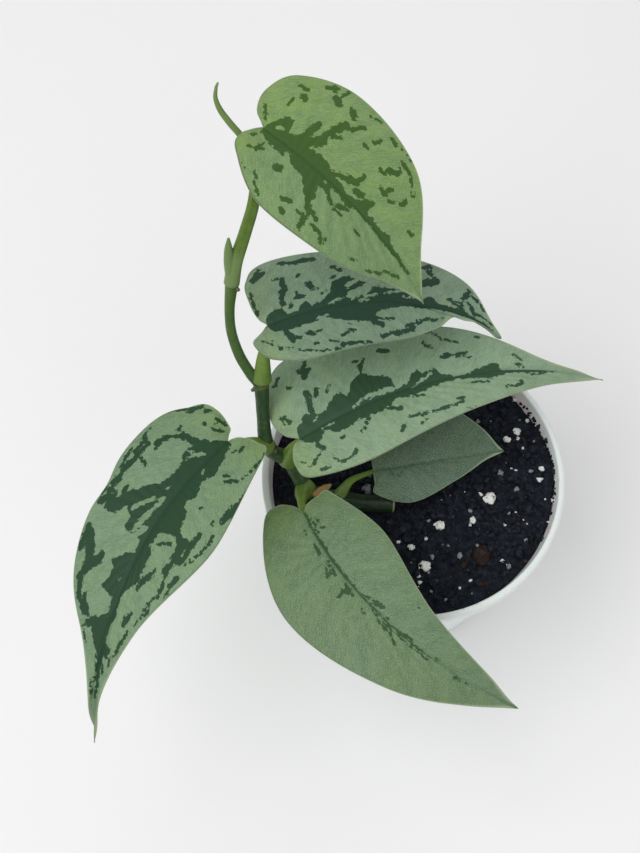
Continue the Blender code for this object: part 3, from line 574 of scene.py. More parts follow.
class Nodes:
    """A short way to build a material's nodes."""

    def __init__(self, name):
        self.material = bpy.data.materials.new(name)
        self.material.use_nodes = True
        self.tree = self.material.node_tree
        self.shader = self.tree.nodes["Principled BSDF"]

    def add(self, kind, **settings):
        node = self.tree.nodes.new("ShaderNode" + kind)
        for key, value in settings.items():
            setattr(node, key, value)
        return node

    def link(self, source, target):
        self.tree.links.new(source, target)

    def put(self, value, socket):
        """Set a constant on a socket, or link an output to it."""
        if isinstance(value, (int, float, tuple)):
            socket.default_value = value
        else:
            self.link(value, socket)

    def attribute(self, name):
        return self.add("Attribute", attribute_name=name).outputs["Fac"]

    def math(self, operation, a, b, c=0.0, clamp=False):
        node = self.add("Math", operation=operation, use_clamp=clamp)
        for socket, value in zip(node.inputs, (a, b, c)):
            self.put(value, socket)
        return node.outputs[0]

    def mix(self, factor, a, b):
        node = self.add("Mix", data_type="RGBA")
        for place, value in ((0, factor), (6, a), (7, b)):
            self.put(value, node.inputs[place])
        return node.outputs[2]

    def step(self, value, low, high, most=1.0):
        """A smooth step from none at low to the most at high."""
        node = self.add("MapRange", interpolation_type="SMOOTHSTEP")
        for name, setting in (("Value", value), ("From Min", low), ("From Max", high), ("To Max", most)):
            self.put(setting, node.inputs[name])
        return node.outputs["Result"]

    def stretch(self, source, along, across):
        """Coordinates scaled along and across the fine veins."""
        place = self.add("Mapping")
        place.inputs["Scale"].default_value = (along, across, 1.0)
        self.link(source, place.inputs["Vector"])
        return place.outputs["Vector"]

    def noise(self, vector, scale, detail=3.0, roughness=0.55):
        node = self.add("TexNoise")
        settings = {"Vector": vector, "Scale": scale, "Detail": detail, "Roughness": roughness}
        for name, setting in settings.items():
            self.put(setting, node.inputs[name])
        return node.outputs["Fac"]

    def place(self):
        """Coordinates in metres on the piece itself."""
        return self.add("TexCoord").outputs["Object"]

    def finish(self, colour, roughness, relief=None, **values):
        """Give the shader its inputs; relief is a height, its strength and its distance in metres."""
        self.put(colour, self.shader.inputs["Base Color"])
        self.put(roughness, self.shader.inputs["Roughness"])
        if relief:
            bump = self.add("Bump")
            for name, setting in zip(("Height", "Strength", "Distance"), relief):
                self.put(setting, bump.inputs[name])
            self.link(bump.outputs["Normal"], self.shader.inputs["Normal"])
        for key, value in values.items():
            self.shader.inputs[key.replace("_", " ")].default_value = value
        return self.material


def blade_top_material(name, marks):
    """Silver satin tissue with dark green left between it, broken along the fine vein net, with painted sheen
    streaks, painted glints and painted shade patches on the silver.
    """
    n = Nodes(name)
    vein = n.add("UVMap", uv_map="vein").outputs["UV"]

    def tissue(along, across, scale, detail, roughness=0.6):
        return n.noise(n.stretch(vein, along, across), scale, detail, roughness)

    cell = n.add("TexVoronoi", feature="F1")
    n.link(n.stretch(vein, 0.80, 1.10), cell.inputs["Vector"])
    cell.inputs["Scale"].default_value = 1.0
    cell.inputs["Randomness"].default_value = 0.9
    chance = n.add("SeparateColor")
    n.link(cell.outputs["Color"], chance.inputs["Color"])
    fine = tissue(1.0, 1.6, 1.6, 3.0)
    jag = n.math("MULTIPLY_ADD", chance.outputs[0], 0.30, -0.15)
    grit = n.math("MULTIPLY_ADD", fine, 0.24, -0.12)
    field = n.math("ADD", n.attribute("mark"), n.math("ADD", jag, grit))

    cloud = n.math("SUBTRACT", tissue(0.06, 0.12, 1.0, 3.0), 0.5)
    # warmth: random tone, the blade's own yellower tint near the stalk, and a painted cool sky sheen on the
    # halves set less warm
    warmth_and_sheen = n.math("MULTIPLY_ADD", cloud, 1.2, n.attribute("warmth_and_sheen"), clamp=True)
    shade = n.math("MULTIPLY_ADD", chance.outputs[1], 0.16, tissue(0.10, 0.25, 1.0, 4.0))
    # streak: painted sheen streaks along the veins on the silver, and the fine vein relief
    streak = tissue(0.35, 2.6, 1.0, 4.0, 0.65)
    # glint: painted glints on the silver, lighter specks and dimmer ones; it also sets the roughness
    glint = tissue(1.0, 1.5, 2.4, 4.0, 0.75)
    silver = n.mix(warmth_and_sheen, rgba(marks.silver), tinted(marks.silver, 6, 6, -24))
    silver = n.mix(n.step(shade, 0.46, 0.74, 0.60), silver, tinted(marks.silver, -22, -20, -23))
    silver = n.mix(n.step(streak, 0.42, 0.72, 0.70), silver, tinted(marks.silver, 20, 19, 21))
    silver = n.mix(n.step(glint, 0.48, 0.70, 0.46), silver, rgba(GLINT))
    silver = n.mix(n.step(glint, 0.48, 0.28, 0.30), silver, tinted(marks.silver, -26, -24, -26))

    deep = n.mix(warmth_and_sheen, rgba(marks.dark), tinted(marks.dark, 5, 8, -10))
    deep = n.mix(n.step(fine, 0.3, 0.7), deep, tinted(marks.dark, 8, 9, 7))
    colour = n.mix(n.step(field, 0.46, 0.54), silver, deep)
    midrib = n.math("MULTIPLY", n.attribute("midrib"), 0.45)
    colour = n.mix(midrib, colour, tinted(marks.dark, 2, 6, 0))
    colour = n.mix(n.step(n.attribute("rim"), 0.20, 0.05, 0.75), colour, rgba(BLADE_RIM))
    height = n.math("MULTIPLY_ADD", streak, 1.6, tissue(1.0, 1.0, 5.5, 2.0))
    rough = n.math("MULTIPLY_ADD", glint, -0.20, 0.58)
    return n.finish(colour, rough, (height, 0.32, 0.00022), Specular_IOR_Level=0.22)


def blade_under_material():
    """The matt, paler underside with its faint vein net."""
    n = Nodes("blade_under")
    vein = n.add("UVMap", uv_map="vein").outputs["UV"]
    streak = n.noise(n.stretch(vein, 0.3, 1.8), 1.0, 4.0, 0.6)
    colour = n.mix(n.step(streak, 0.3, 0.75), *map(rgba, UNDER_TONES))
    colour = n.mix(n.attribute("midrib"), colour, rgba(UNDER_MIDRIB))
    return n.finish(colour, 0.62, (streak, 0.3, 0.0002), Specular_IOR_Level=0.35)


def blade_edge_material():
    """The thin pale margin."""
    n = Nodes("blade_edge")
    return n.finish(n.mix(n.noise(n.place(), 900.0, 2.0), *map(rgba, EDGE_TONES)), 0.5)


def stem_material():
    """Green skin, from dark old growth to light young growth, faintly ribbed; its lightness values also hold
    painted top light and painted shade.
    """
    n = Nodes("stem_skin")
    place = n.place()
    blotch = n.math("MULTIPLY_ADD", n.noise(place, 420.0, 4.0, 0.6), 0.36, -0.18)
    ramp = n.add("ValToRGB")
    last = len(STEM_TONES) - 1
    for k in range(1, last):
        ramp.color_ramp.elements.new(k / last)
    for element, tone in zip(ramp.color_ramp.elements, STEM_TONES):
        element.color = rgba(tone)
    n.link(n.math("ADD", n.attribute("light"), blotch), ramp.inputs["Fac"])
    colour = n.mix(n.attribute("pale"), ramp.outputs["Color"], rgba(STEM_PALE))
    colour = n.mix(n.step(n.noise(place, 1500.0, 2.0), 0.63, 0.72, 0.25), colour, rgba(STEM_SPECK))
    colour = n.mix(n.attribute("scar"), colour, rgba(STEM_SCAR))
    return n.finish(colour, 0.40, (n.noise(place, 900.0), 0.35, 0.0003), Specular_IOR_Level=0.32)


def cut_material():
    """The dried cut end of the old cutting."""
    n = Nodes("stem_cut")
    place = n.place()
    colour = n.mix(n.noise(place, 900.0, 4.0), *map(rgba, CUT_TONES))
    return n.finish(colour, 0.8, (n.noise(place, 1400.0), 0.6, 0.0003))


def dry_material():
    """The papery brown scale."""
    n = Nodes("dry_scale")
    place = n.place()
    colour = n.mix(n.noise(place, 800.0, 4.0), *map(rgba, DRY_TONES))
    return n.finish(colour, 0.85, (n.noise(place, 1500.0), 0.5, 0.0003))


def soil_material(name, tones):
    """Moist peat, bark or fibre with brown flecks."""
    n = Nodes(name)
    place = n.place()
    grain = n.noise(place, 520.0, 5.0, 0.65)
    colour = n.mix(n.step(grain, 0.38, 0.72), *map(rgba, tones))
    colour = n.mix(n.step(n.noise(place, 1300.0, 2.0), 0.66, 0.74, 0.7), colour, rgba(SOIL_FLECK))
    rough = n.math("MULTIPLY_ADD", grain, -0.3, 1.0)
    return n.finish(colour, rough, (n.noise(place, 1600.0, 4.0), 0.8, 0.0007), Specular_IOR_Level=0.25)


def perlite_material(name, tones):
    """Porous grains with dirt in their hollows."""
    n = Nodes(name)
    place = n.place()
    colour = n.mix(n.step(n.noise(place, 900.0, 4.0, 0.7), 0.52, 0.66), *map(rgba, tones))
    return n.finish(colour, 0.9, (n.noise(place, 2400.0), 0.7, 0.0005))


def pot_material():
    """Thin white plastic with a faint orange-peel skin and a little dirt inside its upper wall."""
    n = Nodes("pot_white")
    place = n.place()
    cloud = n.noise(place, 60.0)
    smear = n.step(n.noise(place, 260.0, 5.0, 0.7), 0.58, 0.78)
    colour = n.mix(cloud, *map(rgba, POT_TONES))
    colour = n.mix(n.math("MULTIPLY", smear, n.attribute("dust")), colour, rgba(POT_DIRT))
    rough = n.math("MULTIPLY_ADD", cloud, 0.12, 0.30)
    relief = (n.noise(place, 1500.0, 2.0), 0.12, 0.0002)
    glow = {"Subsurface_Weight": 0.25, "Subsurface_Scale": 0.002}
    return n.finish(colour, rough, relief, Specular_IOR_Level=0.45, **glow)


def bell(value, middle, spread):
    """A smooth hill of height one, for a number or an array."""
    return np.exp(-(((value - middle) / spread) ** 2))


def piece(name, points, faces, materials, slot, replaced=()):
    """A mesh piece from points in mm, which rides on the object's body."""
    mesh = bpy.data.meshes.new(name)
    mesh.from_pydata((np.asarray(points) * MM).tolist(), [], [list(map(int, f)) for f in faces])
    for finish in materials:
        mesh.materials.append(finish)
    mesh.shade_smooth()
    made = bpy.data.objects.new(name, mesh)
    bpy.context.scene.collection.objects.link(made)
    if replaced:
        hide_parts(*replaced)
    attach(made, BODY)
    return made


def give(made, name, values):
    """Store one number per point on a piece, for its material."""
    layer = made.data.attributes.new(name, "FLOAT", "POINT")
    layer.data.foreach_set("value", np.asarray(values, dtype=np.float32))


def curve_through(points, count):
    """That many points on a Catmull-Rom curve through the given ones, whatever they carry."""
    given = np.asarray(points, dtype=float)
    ends = np.vstack([2 * given[0] - given[1], given, 2 * given[-1] - given[-2]])
    spans = len(given) - 1
    at = np.linspace(0.0, spans, count)
    span = np.minimum(at.astype(int), spans - 1)
    u = (at - span)[:, None]
    a, b, c, d = (ends[span + k] for k in range(4))
    linear_part, square, cube = c - a, 2 * a - 5 * b + 4 * c - d, 3 * b - a - 3 * c + d
    return 0.5 * (2 * b + linear_part * u + square * u**2 + cube * u**3)


def unit(vector):
    """The vector at length one."""
    vector = np.asarray(vector, dtype=float)
    return vector / np.linalg.norm(vector)


def half_outline(side):
    """Fine points of half an outline, from the stalk to the tip: share of length, share of width."""
    rest = 1.0 - side.belly
    shape = [
        (0.0, 0.0),
        (-0.70 * side.lobe, 0.12),
        (-side.lobe, 0.54 * side.cheek),
        (-0.35 * side.lobe, side.cheek),
        (side.belly, 1.0),
        (side.belly + 0.45 * rest, side.shoulder),
        (side.belly + 0.76 * rest, side.acumen),
        (side.belly + 0.92 * rest, 0.30 * side.acumen),
        (1.0, 0.0),
    ]
    outline = curve_through(shape, 801)
    for place, depth, reach in side.dents:
        outline[:, 1] -= depth * bell(outline[:, 0], place, reach) * (outline[:, 1] > 0.02)
    return outline


def midrib_frames(leaf, along):
    """Point, lateral direction and normal of the midrib at shares of its length."""
    steps = np.linspace(0.0, 1.0, MIDRIB_STEPS + 1)
    pitch = np.radians(leaf.pitch - leaf.droop * steps**1.3)
    bend = leaf.hook * np.clip((steps - HOOK_START) / (1.0 - HOOK_START), 0.0, 1.0) ** 2
    heading = np.radians(leaf.heading + leaf.sway * steps - bend)
    level_part = np.cos(pitch)
    tangents = np.column_stack([level_part * np.cos(heading), level_part * np.sin(heading), np.sin(pitch)])
    line = np.zeros_like(tangents)
    line[1:] = np.cumsum((tangents[1:] + tangents[:-1]) / 2, axis=0) * leaf.length / MIDRIB_STEPS
    inside = np.clip(along, 0.0, 1.0)
    tangent = np.column_stack([np.interp(inside, steps, tangents[:, k]) for k in range(3)])
    point = np.column_stack([np.interp(inside, steps, line[:, k]) for k in range(3)])
    point += np.minimum(along, 0.0)[:, None] * leaf.length * tangent
    turn = np.radians(leaf.heading + leaf.sway * inside)
    level = np.column_stack([-np.sin(turn), np.cos(turn), np.zeros_like(turn)])
    upright = np.cross(tangent, level)
    roll = np.radians(leaf.roll + leaf.twist * inside)[:, None]
    lateral = level * np.cos(roll) + upright * np.sin(roll)
    normal = upright * np.cos(roll) - level * np.sin(roll)
    return point + np.asarray(leaf.base), lateral, normal


def even_places(fine, rows):
    """Places along a half outline at even steps of its real length, and that length."""
    steps = np.r_[0.0, np.cumsum(np.linalg.norm(np.diff(fine, axis=0), axis=1))]
    evenly = np.arange(1, rows) / rows * steps[-1]
    return np.interp(evenly, steps, np.linspace(0.0, 1.0, len(fine))), steps[-1]


def blade_half(leaf, sign, rows, ribs):
    """Mid-surface grid of half a blade with what its marks need, rows by ribs + 1."""
    side = leaf.left if sign > 0 else leaf.right
    fine = half_outline(side)
    places, margin_length = even_places(fine * (leaf.length, side.width), rows)
    margin = np.column_stack([np.interp(places, np.linspace(0, 1, len(fine)), fine[:, k]) for k in range(2)])
    across = np.tile(np.arange(ribs + 1) / ribs, (len(places), 1))
    start = (places**RIB_START)[:, None]
    along = start + (margin[:, :1] - start) * across**RIB_SWEEP
    share = margin[:, 1:] * across
    point, lateral, normal = midrib_frames(leaf, along.ravel())
    fold = math.radians(FOLD)
    width = share * side.width
    rise = width * math.sin(fold) - ARCH * min(1.0, leaf.length / 40.0) * share**2
    rise += side.wave * np.sin(2 * math.pi * side.waves * places + side.phase)[:, None] * across**2
    count = (np.arange(1, rows) / rows)[:, None] * margin_length
    quilt = np.cos(2 * math.pi * count / QUILT_SPACING) * QUILT_DEPTH * np.sin(math.pi * across) ** 0.7
    out = sign * width * math.cos(fold)
    middle = point + lateral * out.ravel()[:, None] + normal * (rise + quilt).ravel()[:, None]
    tip = np.clip((start - 0.9) / 0.1, 0.0, 1.0)
    return {
        "point": middle.reshape(*across.shape, 3),
        "normal": normal.reshape(*across.shape, 3),
        "along": along * leaf.length,
        "out": width,
        "rim": (1.0 - across) * margin[:, 1:] * side.width + 0.5 * tip,
    }


def stroke_depth(along, out, stroke):
    """How deep each point lies inside a stroke, in mm; less than zero outside."""
    a0, o0, a1, o1, width = stroke
    run, rise = a1 - a0, o1 - o0
    share = ((along - a0) * run + (out - o0) * rise) / max(run * run + rise * rise, 1e-6)
    share = np.clip(share, 0.0, 1.0)
    return width / 2 - np.hypot(along - a0 - share * run, out - o0 - share * rise)


def dark_field(marks, along, out, seed):
    """One half is the edge between dark green and silver, more is dark and less is silver."""
    above, below = np.array(marks.above, float), np.array(marks.below, float)
    high = np.interp(along, above[:, 0], above[:, 1], left=0.0, right=-1.0)
    low = np.interp(along, below[:, 0], below[:, 1], left=0.0, right=1.0)
    depth = np.where(out >= 0, high - out, out - low)
    for stroke in marks.strokes:
        depth = np.maximum(depth, stroke_depth(along, out, stroke))
    for gap in marks.gaps:
        depth = np.minimum(depth, -stroke_depth(along, out, gap))
    places = np.column_stack([along, out]) / RAGGED_SCALE
    ragged = [noise.noise((a, o, seed)) for a, o in places.tolist()]
    return np.clip(0.5 + (depth + RAGGED_DEPTH * np.array(ragged)) / FIELD_REACH, 0.0, 1.0)


def blade_faces(rows, ribs):
    """A blade's top faces, slanted alike on both halves, and its margin's points with one inside each."""
    width = 2 * ribs + 1
    count = 2 + (rows - 1) * width
    here = 1 + np.arange(rows - 1)[:, None] * width + np.arange(width)[None, :]
    a, b, c, d = (part.ravel() for part in (here[:-1, :-1], here[:-1, 1:], here[1:, 1:], here[1:, :-1]))
    left_half = np.tile(np.arange(width - 1) >= ribs, rows - 2)[:, None]
    first = np.where(left_half, np.column_stack([a, d, c]), np.column_stack([a, d, b]))
    second = np.where(left_half, np.column_stack([a, c, b]), np.column_stack([b, d, c]))
    stalk_fan = np.column_stack([np.zeros(width - 1, int), here[0, :-1], here[0, 1:]])
    tip_fan = np.column_stack([here[-1, 1:], here[-1, :-1], np.full(width - 1, count - 1)])
    loop = np.concatenate([[0], here[:, -1], [count - 1], here[::-1, 0]])
    inner = np.r_[here[0, ribs], here[:, -3], here[-1, ribs], here[::-1, 2]]
    return np.vstack([first, second, stalk_fan, tip_fan]), loop, inner


def margin_faces(loop, count):
    """Faces that join top, margin ring and underside."""
    ring = 2 * count + np.arange(len(loop))
    faces = []
    for k, j in enumerate(np.roll(np.arange(len(loop)), -1)):
        faces.append((loop[k], ring[k], ring[j]))
        faces.append((loop[k], ring[j], loop[j]))
        faces.append((ring[k], loop[k] + count, loop[j] + count))
        faces.append((ring[k], loop[j] + count, ring[j]))
    return np.array(faces)


def make_blade(name, leaf, finishes):
    """A closed fine blade with groove, keel and rounded margin, in place of its CAD solid."""
    rows, ribs = BLADE_ROWS, BLADE_RIBS
    left = blade_half(leaf, 1, rows, ribs)
    right = blade_half(leaf, -1, rows, ribs)
    grid = {key: np.concatenate([right[key][:, :0:-1], left[key]], axis=1) for key in left}
    sides = np.hstack([-np.ones((rows - 1, ribs)), np.ones((rows - 1, ribs + 1))])
    ends, _, end_normals = midrib_frames(leaf, np.array([0.0, 1.0]))

    def flat(values, first, last):
        return np.concatenate([[first], values.ravel(), [last]])

    along = flat(grid["along"], 0.0, leaf.length)
    out = flat(grid["out"], 0.0, 0.0)
    rim = flat(grid["rim"], 0.3, 0.0)
    side = flat(sides, 1.0, 1.0)
    middle = np.vstack([ends[:1], grid["point"].reshape(-1, 3), ends[1:]])
    normal = np.vstack([end_normals[:1], grid["normal"].reshape(-1, 3), end_normals[1:]])
    fade = np.clip(1.15 - along / leaf.length, 0.0, 1.0)
    groove = GROOVE_DEPTH * fade * bell(out, 0.0, GROOVE_WIDTH)
    keel = KEEL_DEPTH * fade * bell(out, 0.0, KEEL_WIDTH)
    thin = BLADE_THICKNESS * (EDGE_SHARE + (1.0 - EDGE_SHARE) * np.clip(rim / 2.0, 0.0, 1.0)) / 2
    top = middle + normal * (thin - groove)[:, None]
    under = middle - normal * (thin + keel)[:, None]

    upper, loop, inner = blade_faces(rows, ribs)
    outward = middle[loop] - middle[inner]
    outward /= np.linalg.norm(outward, axis=1)[:, None]
    edge_points = middle[loop] + outward * EDGE_REACH
    lower = upper[:, [0, 2, 1]] + len(middle)
    edge = margin_faces(loop, len(middle))
    points, faces = np.vstack([top, under, edge_points]), np.vstack([upper, lower, edge])
    made = piece(name, points, faces, finishes, "blade", (name.replace("_blade", ""),))
    kinds = np.r_[np.zeros(len(upper), int), np.ones(len(lower), int), np.full(len(edge), 2)]
    made.data.polygons.foreach_set("material_index", kinds)

    def everywhere(values):
        return np.concatenate([values, values, values[loop]])

    # each half's warmth stands for a painted cool sky sheen where it is low; near the stalk the warmth is the
    # blade's own yellower tint
    warmth_and_sheen = np.where(side > 0, leaf.marks.sheen_warmth_left, leaf.marks.sheen_warmth_right) * np.clip(out / 4.0, 0.0, 1.0)
    give(made, "mark", everywhere(dark_field(leaf.marks, along, out * side, 2.0 * leaf.length)))
    give(made, "rim", everywhere(rim))
    give(made, "midrib", everywhere(bell(out, 0.0, MIDRIB_WIDTH) * fade))
    give(made, "warmth_and_sheen", everywhere(warmth_and_sheen + BASE_WARMTH * bell(along, -3.0, 7.0)))
    slant = math.radians(VEIN_SLANT)
    first_axis = everywhere(along * math.cos(slant) + out * math.sin(slant))
    second_axis = everywhere((-along * math.sin(slant) + out * math.cos(slant)) * side)
    corners = np.empty(len(made.data.loops), dtype=np.int32)
    made.data.loops.foreach_get("vertex_index", corners)
    layer = made.data.uv_layers.new(name="vein")
    layer.data.foreach_set("uv", np.column_stack([first_axis[corners], second_axis[corners]]).ravel())


def tube_parts(path, per_mm, sides, up, shape=None, dome=0.5):
    """Points, faces and place along the length of a tube with domed ends."""
    given = np.asarray(path, dtype=float)
    length = np.linalg.norm(np.diff(given[:, :3], axis=0), axis=1).sum()
    curve = curve_through(given, max(10, round(length * per_mm)))
    centres, radii = curve[:, :3], curve[:, 3]
    tangents = np.gradient(centres, axis=0)
    tangents /= np.linalg.norm(tangents, axis=1)[:, None]
    places = np.r_[0.0, np.cumsum(np.linalg.norm(np.diff(centres, axis=0), axis=1))]

    def cap(end, way, steps):
        reach = way * tangents[end] * radii[end] * dome
        rest = curve[end], places[end]
        return [(centres[end] + reach * x, tangents[end], radii[end] * y, *rest) for x, y in steps]

    stations = cap(0, -1, CAP_STEPS) + list(zip(centres, tangents, radii, curve, places))
    stations += cap(-1, 1, reversed(CAP_STEPS))
    points, info = [], []
    side = unit(np.cross(tangents[0], up))
    for centre, tangent, radius, values, place in stations:
        side = unit(side - tangent * np.dot(side, tangent))
        top = np.cross(side, tangent)
        for k in range(sides):
            turn = 2 * math.pi * k / sides
            grow = shape(turn, place / places[-1], place) if shape else 1.0
            points.append(centre + radius * grow * (math.cos(turn) * top + math.sin(turn) * side))
            info.append((place, turn, *values[4:]))
    faces = []
    for ring in range(len(stations) - 1):
        low = ring * sides
        for k in range(sides):
            j = (k + 1) % sides
            faces.append((low + k, low + sides + k, low + sides + j, low + j))
    faces.append(tuple(range(sides)))
    last = (len(stations) - 1) * sides
    faces.append(tuple(last + k for k in reversed(range(sides))))
    return np.array(points), faces, np.array(info)


def joined(parts):
    """Several point and face sets as one."""
    points, faces, offset = [], [], 0
    for some_points, some_faces in parts:
        points.append(np.asarray(some_points))
        faces += [tuple(int(i) + offset for i in f) for f in some_faces]
        offset += len(some_points)
    return np.vstack(points), faces


def make_stem(finishes):
    """The vine with ring scars at its nodes, aerial-root stubs and the old cutting's cut end."""
    fine = curve_through(STEM, STEM_FINE)
    lengths = np.r_[0.0, np.cumsum(np.linalg.norm(np.diff(fine[:, :3], axis=0), axis=1))]
    node_at = np.interp(NODE_INDEX, np.linspace(0, len(STEM) - 1, STEM_FINE), lengths).tolist()

    def shape(turn, share, place):
        ring = sum(0.11 * bell(place, at, 0.7) for at in node_at)
        groove = sum(-0.05 * bell(place, at + 1.5, 0.4) for at in node_at)
        grain = 0.025 * noise.noise((place / 5.0, math.cos(turn) * 1.5, math.sin(turn) * 1.5))
        rib = 0.012 * math.cos(7 * turn + place / 14.0)
        return 1.0 + ring + groove + grain + rib

    points, faces, info = tube_parts(STEM, 1.6, STEM_SIDES, (0, 0, 1), shape, 0.25)
    parts = [(points, faces)]
    scar = list(sum(bell(info[:, 0], at, 0.35) for at in node_at) * 0.45)
    light = list(info[:, 2])
    for place, way in ROOT_STUBS:
        reach = np.asarray(place) + unit(way) * STUB_REACH
        stub_points, stub_faces, _ = tube_parts([(*place, 1.1), (*reach, 0.55)], 4.0, 14, (0, 0, 1))
        parts.append((stub_points, stub_faces))
        out = np.linalg.norm(stub_points - np.asarray(place), axis=1)
        scar += list(np.clip((out - 2.6) / 1.2, 0.0, 1.0) * 0.8)
        light += [0.35] * len(stub_points)
    all_points, all_faces = joined(parts)
    made = piece("stem_vine", all_points, all_faces, finishes, "stem", ("stem",))
    cut_rings = 2
    kinds = np.zeros(len(all_faces), int)
    kinds[: cut_rings * STEM_SIDES] = 1
    kinds[len(faces) - 2] = 1
    made.data.polygons.foreach_set("material_index", kinds)
    give(made, "light", light)
    give(made, "scar", scar)
    give(made, "pale", np.zeros(len(all_points)))


def petiole_path(number):
    """The petiole's points, ended just under its blade's midrib."""
    leaf = LEAVES[f"leaf_{number}"]
    radius = PETIOLE_END_RADIUS[number]
    point, _, normal = midrib_frames(leaf, np.array([0.01]))
    end = point[0] - normal[0] * (CAD_THICKNESS / 2 + radius)
    return PETIOLES[number] + [(*end, radius)]


def make_petiole(number, finish):
    """A leaf stalk: sheathed at its node, channelled above, thicker just below the blade."""
    path = petiole_path(number)
    leaf = LEAVES[f"leaf_{number}"]
    _, _, normal = midrib_frames(leaf, np.array([0.0]))

    def shape(turn, share, place):
        aside = min(turn, 2 * math.pi - turn)
        facing = bell(aside, 0.0, 0.55)
        wings = bell(aside, 0.85, 0.28)
        sheath = 0.16 * bell(share, 0.0, 0.14)
        knee = 0.10 * bell(share, 0.93, 0.06)
        channel = min(1.0, max(0.0, (share - 0.05) / 0.2))
        return 1.0 + sheath + knee - 0.20 * facing * channel + 0.07 * wings * channel

    points, faces, info = tube_parts(path, 2.2, PETIOLE_SIDES, normal[0], shape)
    parts = [(points, faces)]
    whole = info[:, 0].max()
    # lighter along the middle, and lighter on the upper side as painted top light
    light = 0.74 + 0.12 * np.sin(info[:, 0] / whole * math.pi) + 0.06 * np.cos(info[:, 1])
    pale = 0.35 * np.exp(-info[:, 0] / 3.0)
    if number == 1:
        # painted top light on the upper side here too
        light = 0.70 + 0.06 * info[:, 0] / whole + 0.06 * np.cos(info[:, 1])
        pale = 0.9 * np.clip((SHEATH_LENGTH - info[:, 0]) / 4.0, 0.0, 1.0)
        ligule_points, ligule_faces, _ = tube_parts(LIGULE, 3.0, 16, (-1, 0, 0))
        parts.append((ligule_points, ligule_faces))
        light = np.r_[light, np.full(len(ligule_points), 0.62)]
        pale = np.r_[pale, np.full(len(ligule_points), 0.8)]
    if number == 6:
        light = light - 0.10
    all_points, all_faces = joined(parts)
    name = f"petiole_{number}"
    made = piece(name + "_stalk", all_points, all_faces, [finish], "petiole", (name,))
    give(made, "light", light)
    give(made, "pale", pale)
    give(made, "scar", np.zeros(len(all_points)))


def make_new_leaf(finish):
    """The youngest leaf, rolled to a spear with its seam down one side."""

    def shape(turn, share, place):
        seam = bell(min(turn, 2 * math.pi - turn), 0.0, 0.22)
        return 1.0 - 0.18 * seam + 0.05 * math.cos(2 * turn)

    points, faces, info = tube_parts(SPEAR, 3.0, 20, (-0.6, 0.2, 0.7), shape, 1.4)
    made = piece("new_leaf_spear", points, faces, [finish], "petiole", ("new_leaf",))
    # lighter on the upper side as painted top light
    give(made, "light", 0.80 + 0.08 * np.cos(info[:, 1]))
    give(made, "pale", np.full(len(points), 0.6))
    give(made, "scar", np.zeros(len(points)))


def make_bract(finish):
    """The dry scale, a small curled strip with a point."""
    heading = math.radians(BRACT_HEADING)
    forward = np.array([math.cos(heading), math.sin(heading), BRACT_RISE])
    lateral = np.array([-math.sin(heading), math.cos(heading), 0.0])
    upward = np.array([0.0, 0.0, 1.0])
    width, rows = BRACT_RIBS + 1, BRACT_ROWS
    middle = []
    for row in range(rows + 1):
        share = row / rows
        half = BRACT_HALF_WIDTH * (math.sin(math.pi * min(1.0, 0.12 + 0.88 * share)) ** 0.7) + 0.05
        for rib in range(width):
            v = 2 * rib / BRACT_RIBS - 1
            lift = 0.35 * v * v + 0.12 * math.sin(9 * share + 2 * v) - 0.5 * share**2
            middle.append(BRACT_BASE + forward * BRACT_LENGTH * share + lateral * half * v + upward * lift)
    half_thick = upward * BRACT_THICKNESS / 2
    points = [place + half_thick for place in middle] + [place - half_thick for place in middle]
    count = len(middle)
    faces = []
    for row in range(rows):
        for a in range(row * width, row * width + BRACT_RIBS):
            faces.append((a, a + width, a + width + 1, a + 1))
            faces.append((count + a, count + a + 1, count + a + width + 1, count + a + width))
    border = list(range(width)) + [r * width + BRACT_RIBS for r in range(1, rows + 1)]
    border += [rows * width + k for k in range(BRACT_RIBS - 1, -1, -1)]
    border += [r * width for r in range(rows - 1, 0, -1)]
    for a, b in zip(border, border[1:] + border[:1]):
        faces.append((a, b, b + count, a + count))
    piece("dry_bract_scale", points, faces, [finish], "dry_scale", ("dry_bract",))


def wall_radius(height):
    """Outer radius of the pot's wall at a height."""
    return WALL_BOTTOM_RADIUS + (WALL_TOP_RADIUS - WALL_BOTTOM_RADIUS) * height / POT_HEIGHT


def circle(radius, sides):
    """Points around the pot's axis."""
    turns = [2 * math.pi * k / sides for k in range(sides)]
    return [(radius * math.cos(turn), radius * math.sin(turn)) for turn in turns]


def lathe_faces(sides, rings):
    """Faces between rings of points, closed by the point before the first ring and the one after the last."""
    last = 1 + (rings - 1) * sides
    faces = []
    for k in range(sides):
        j = (k + 1) % sides
        faces.append((0, 1 + j, 1 + k))
        for low in range(1, last, sides):
            faces.append((low + k, low + j, low + sides + j, low + sides + k))
        faces.append((last + k, last + j, last + sides))
    return faces


def arc(centre, radius, start, end, steps):
    """Points of a rounded edge in the pot's profile."""
    turns = np.radians(np.linspace(start, end, steps))
    return [(centre[0] + radius * math.cos(t), centre[1] + radius * math.sin(t)) for t in turns]


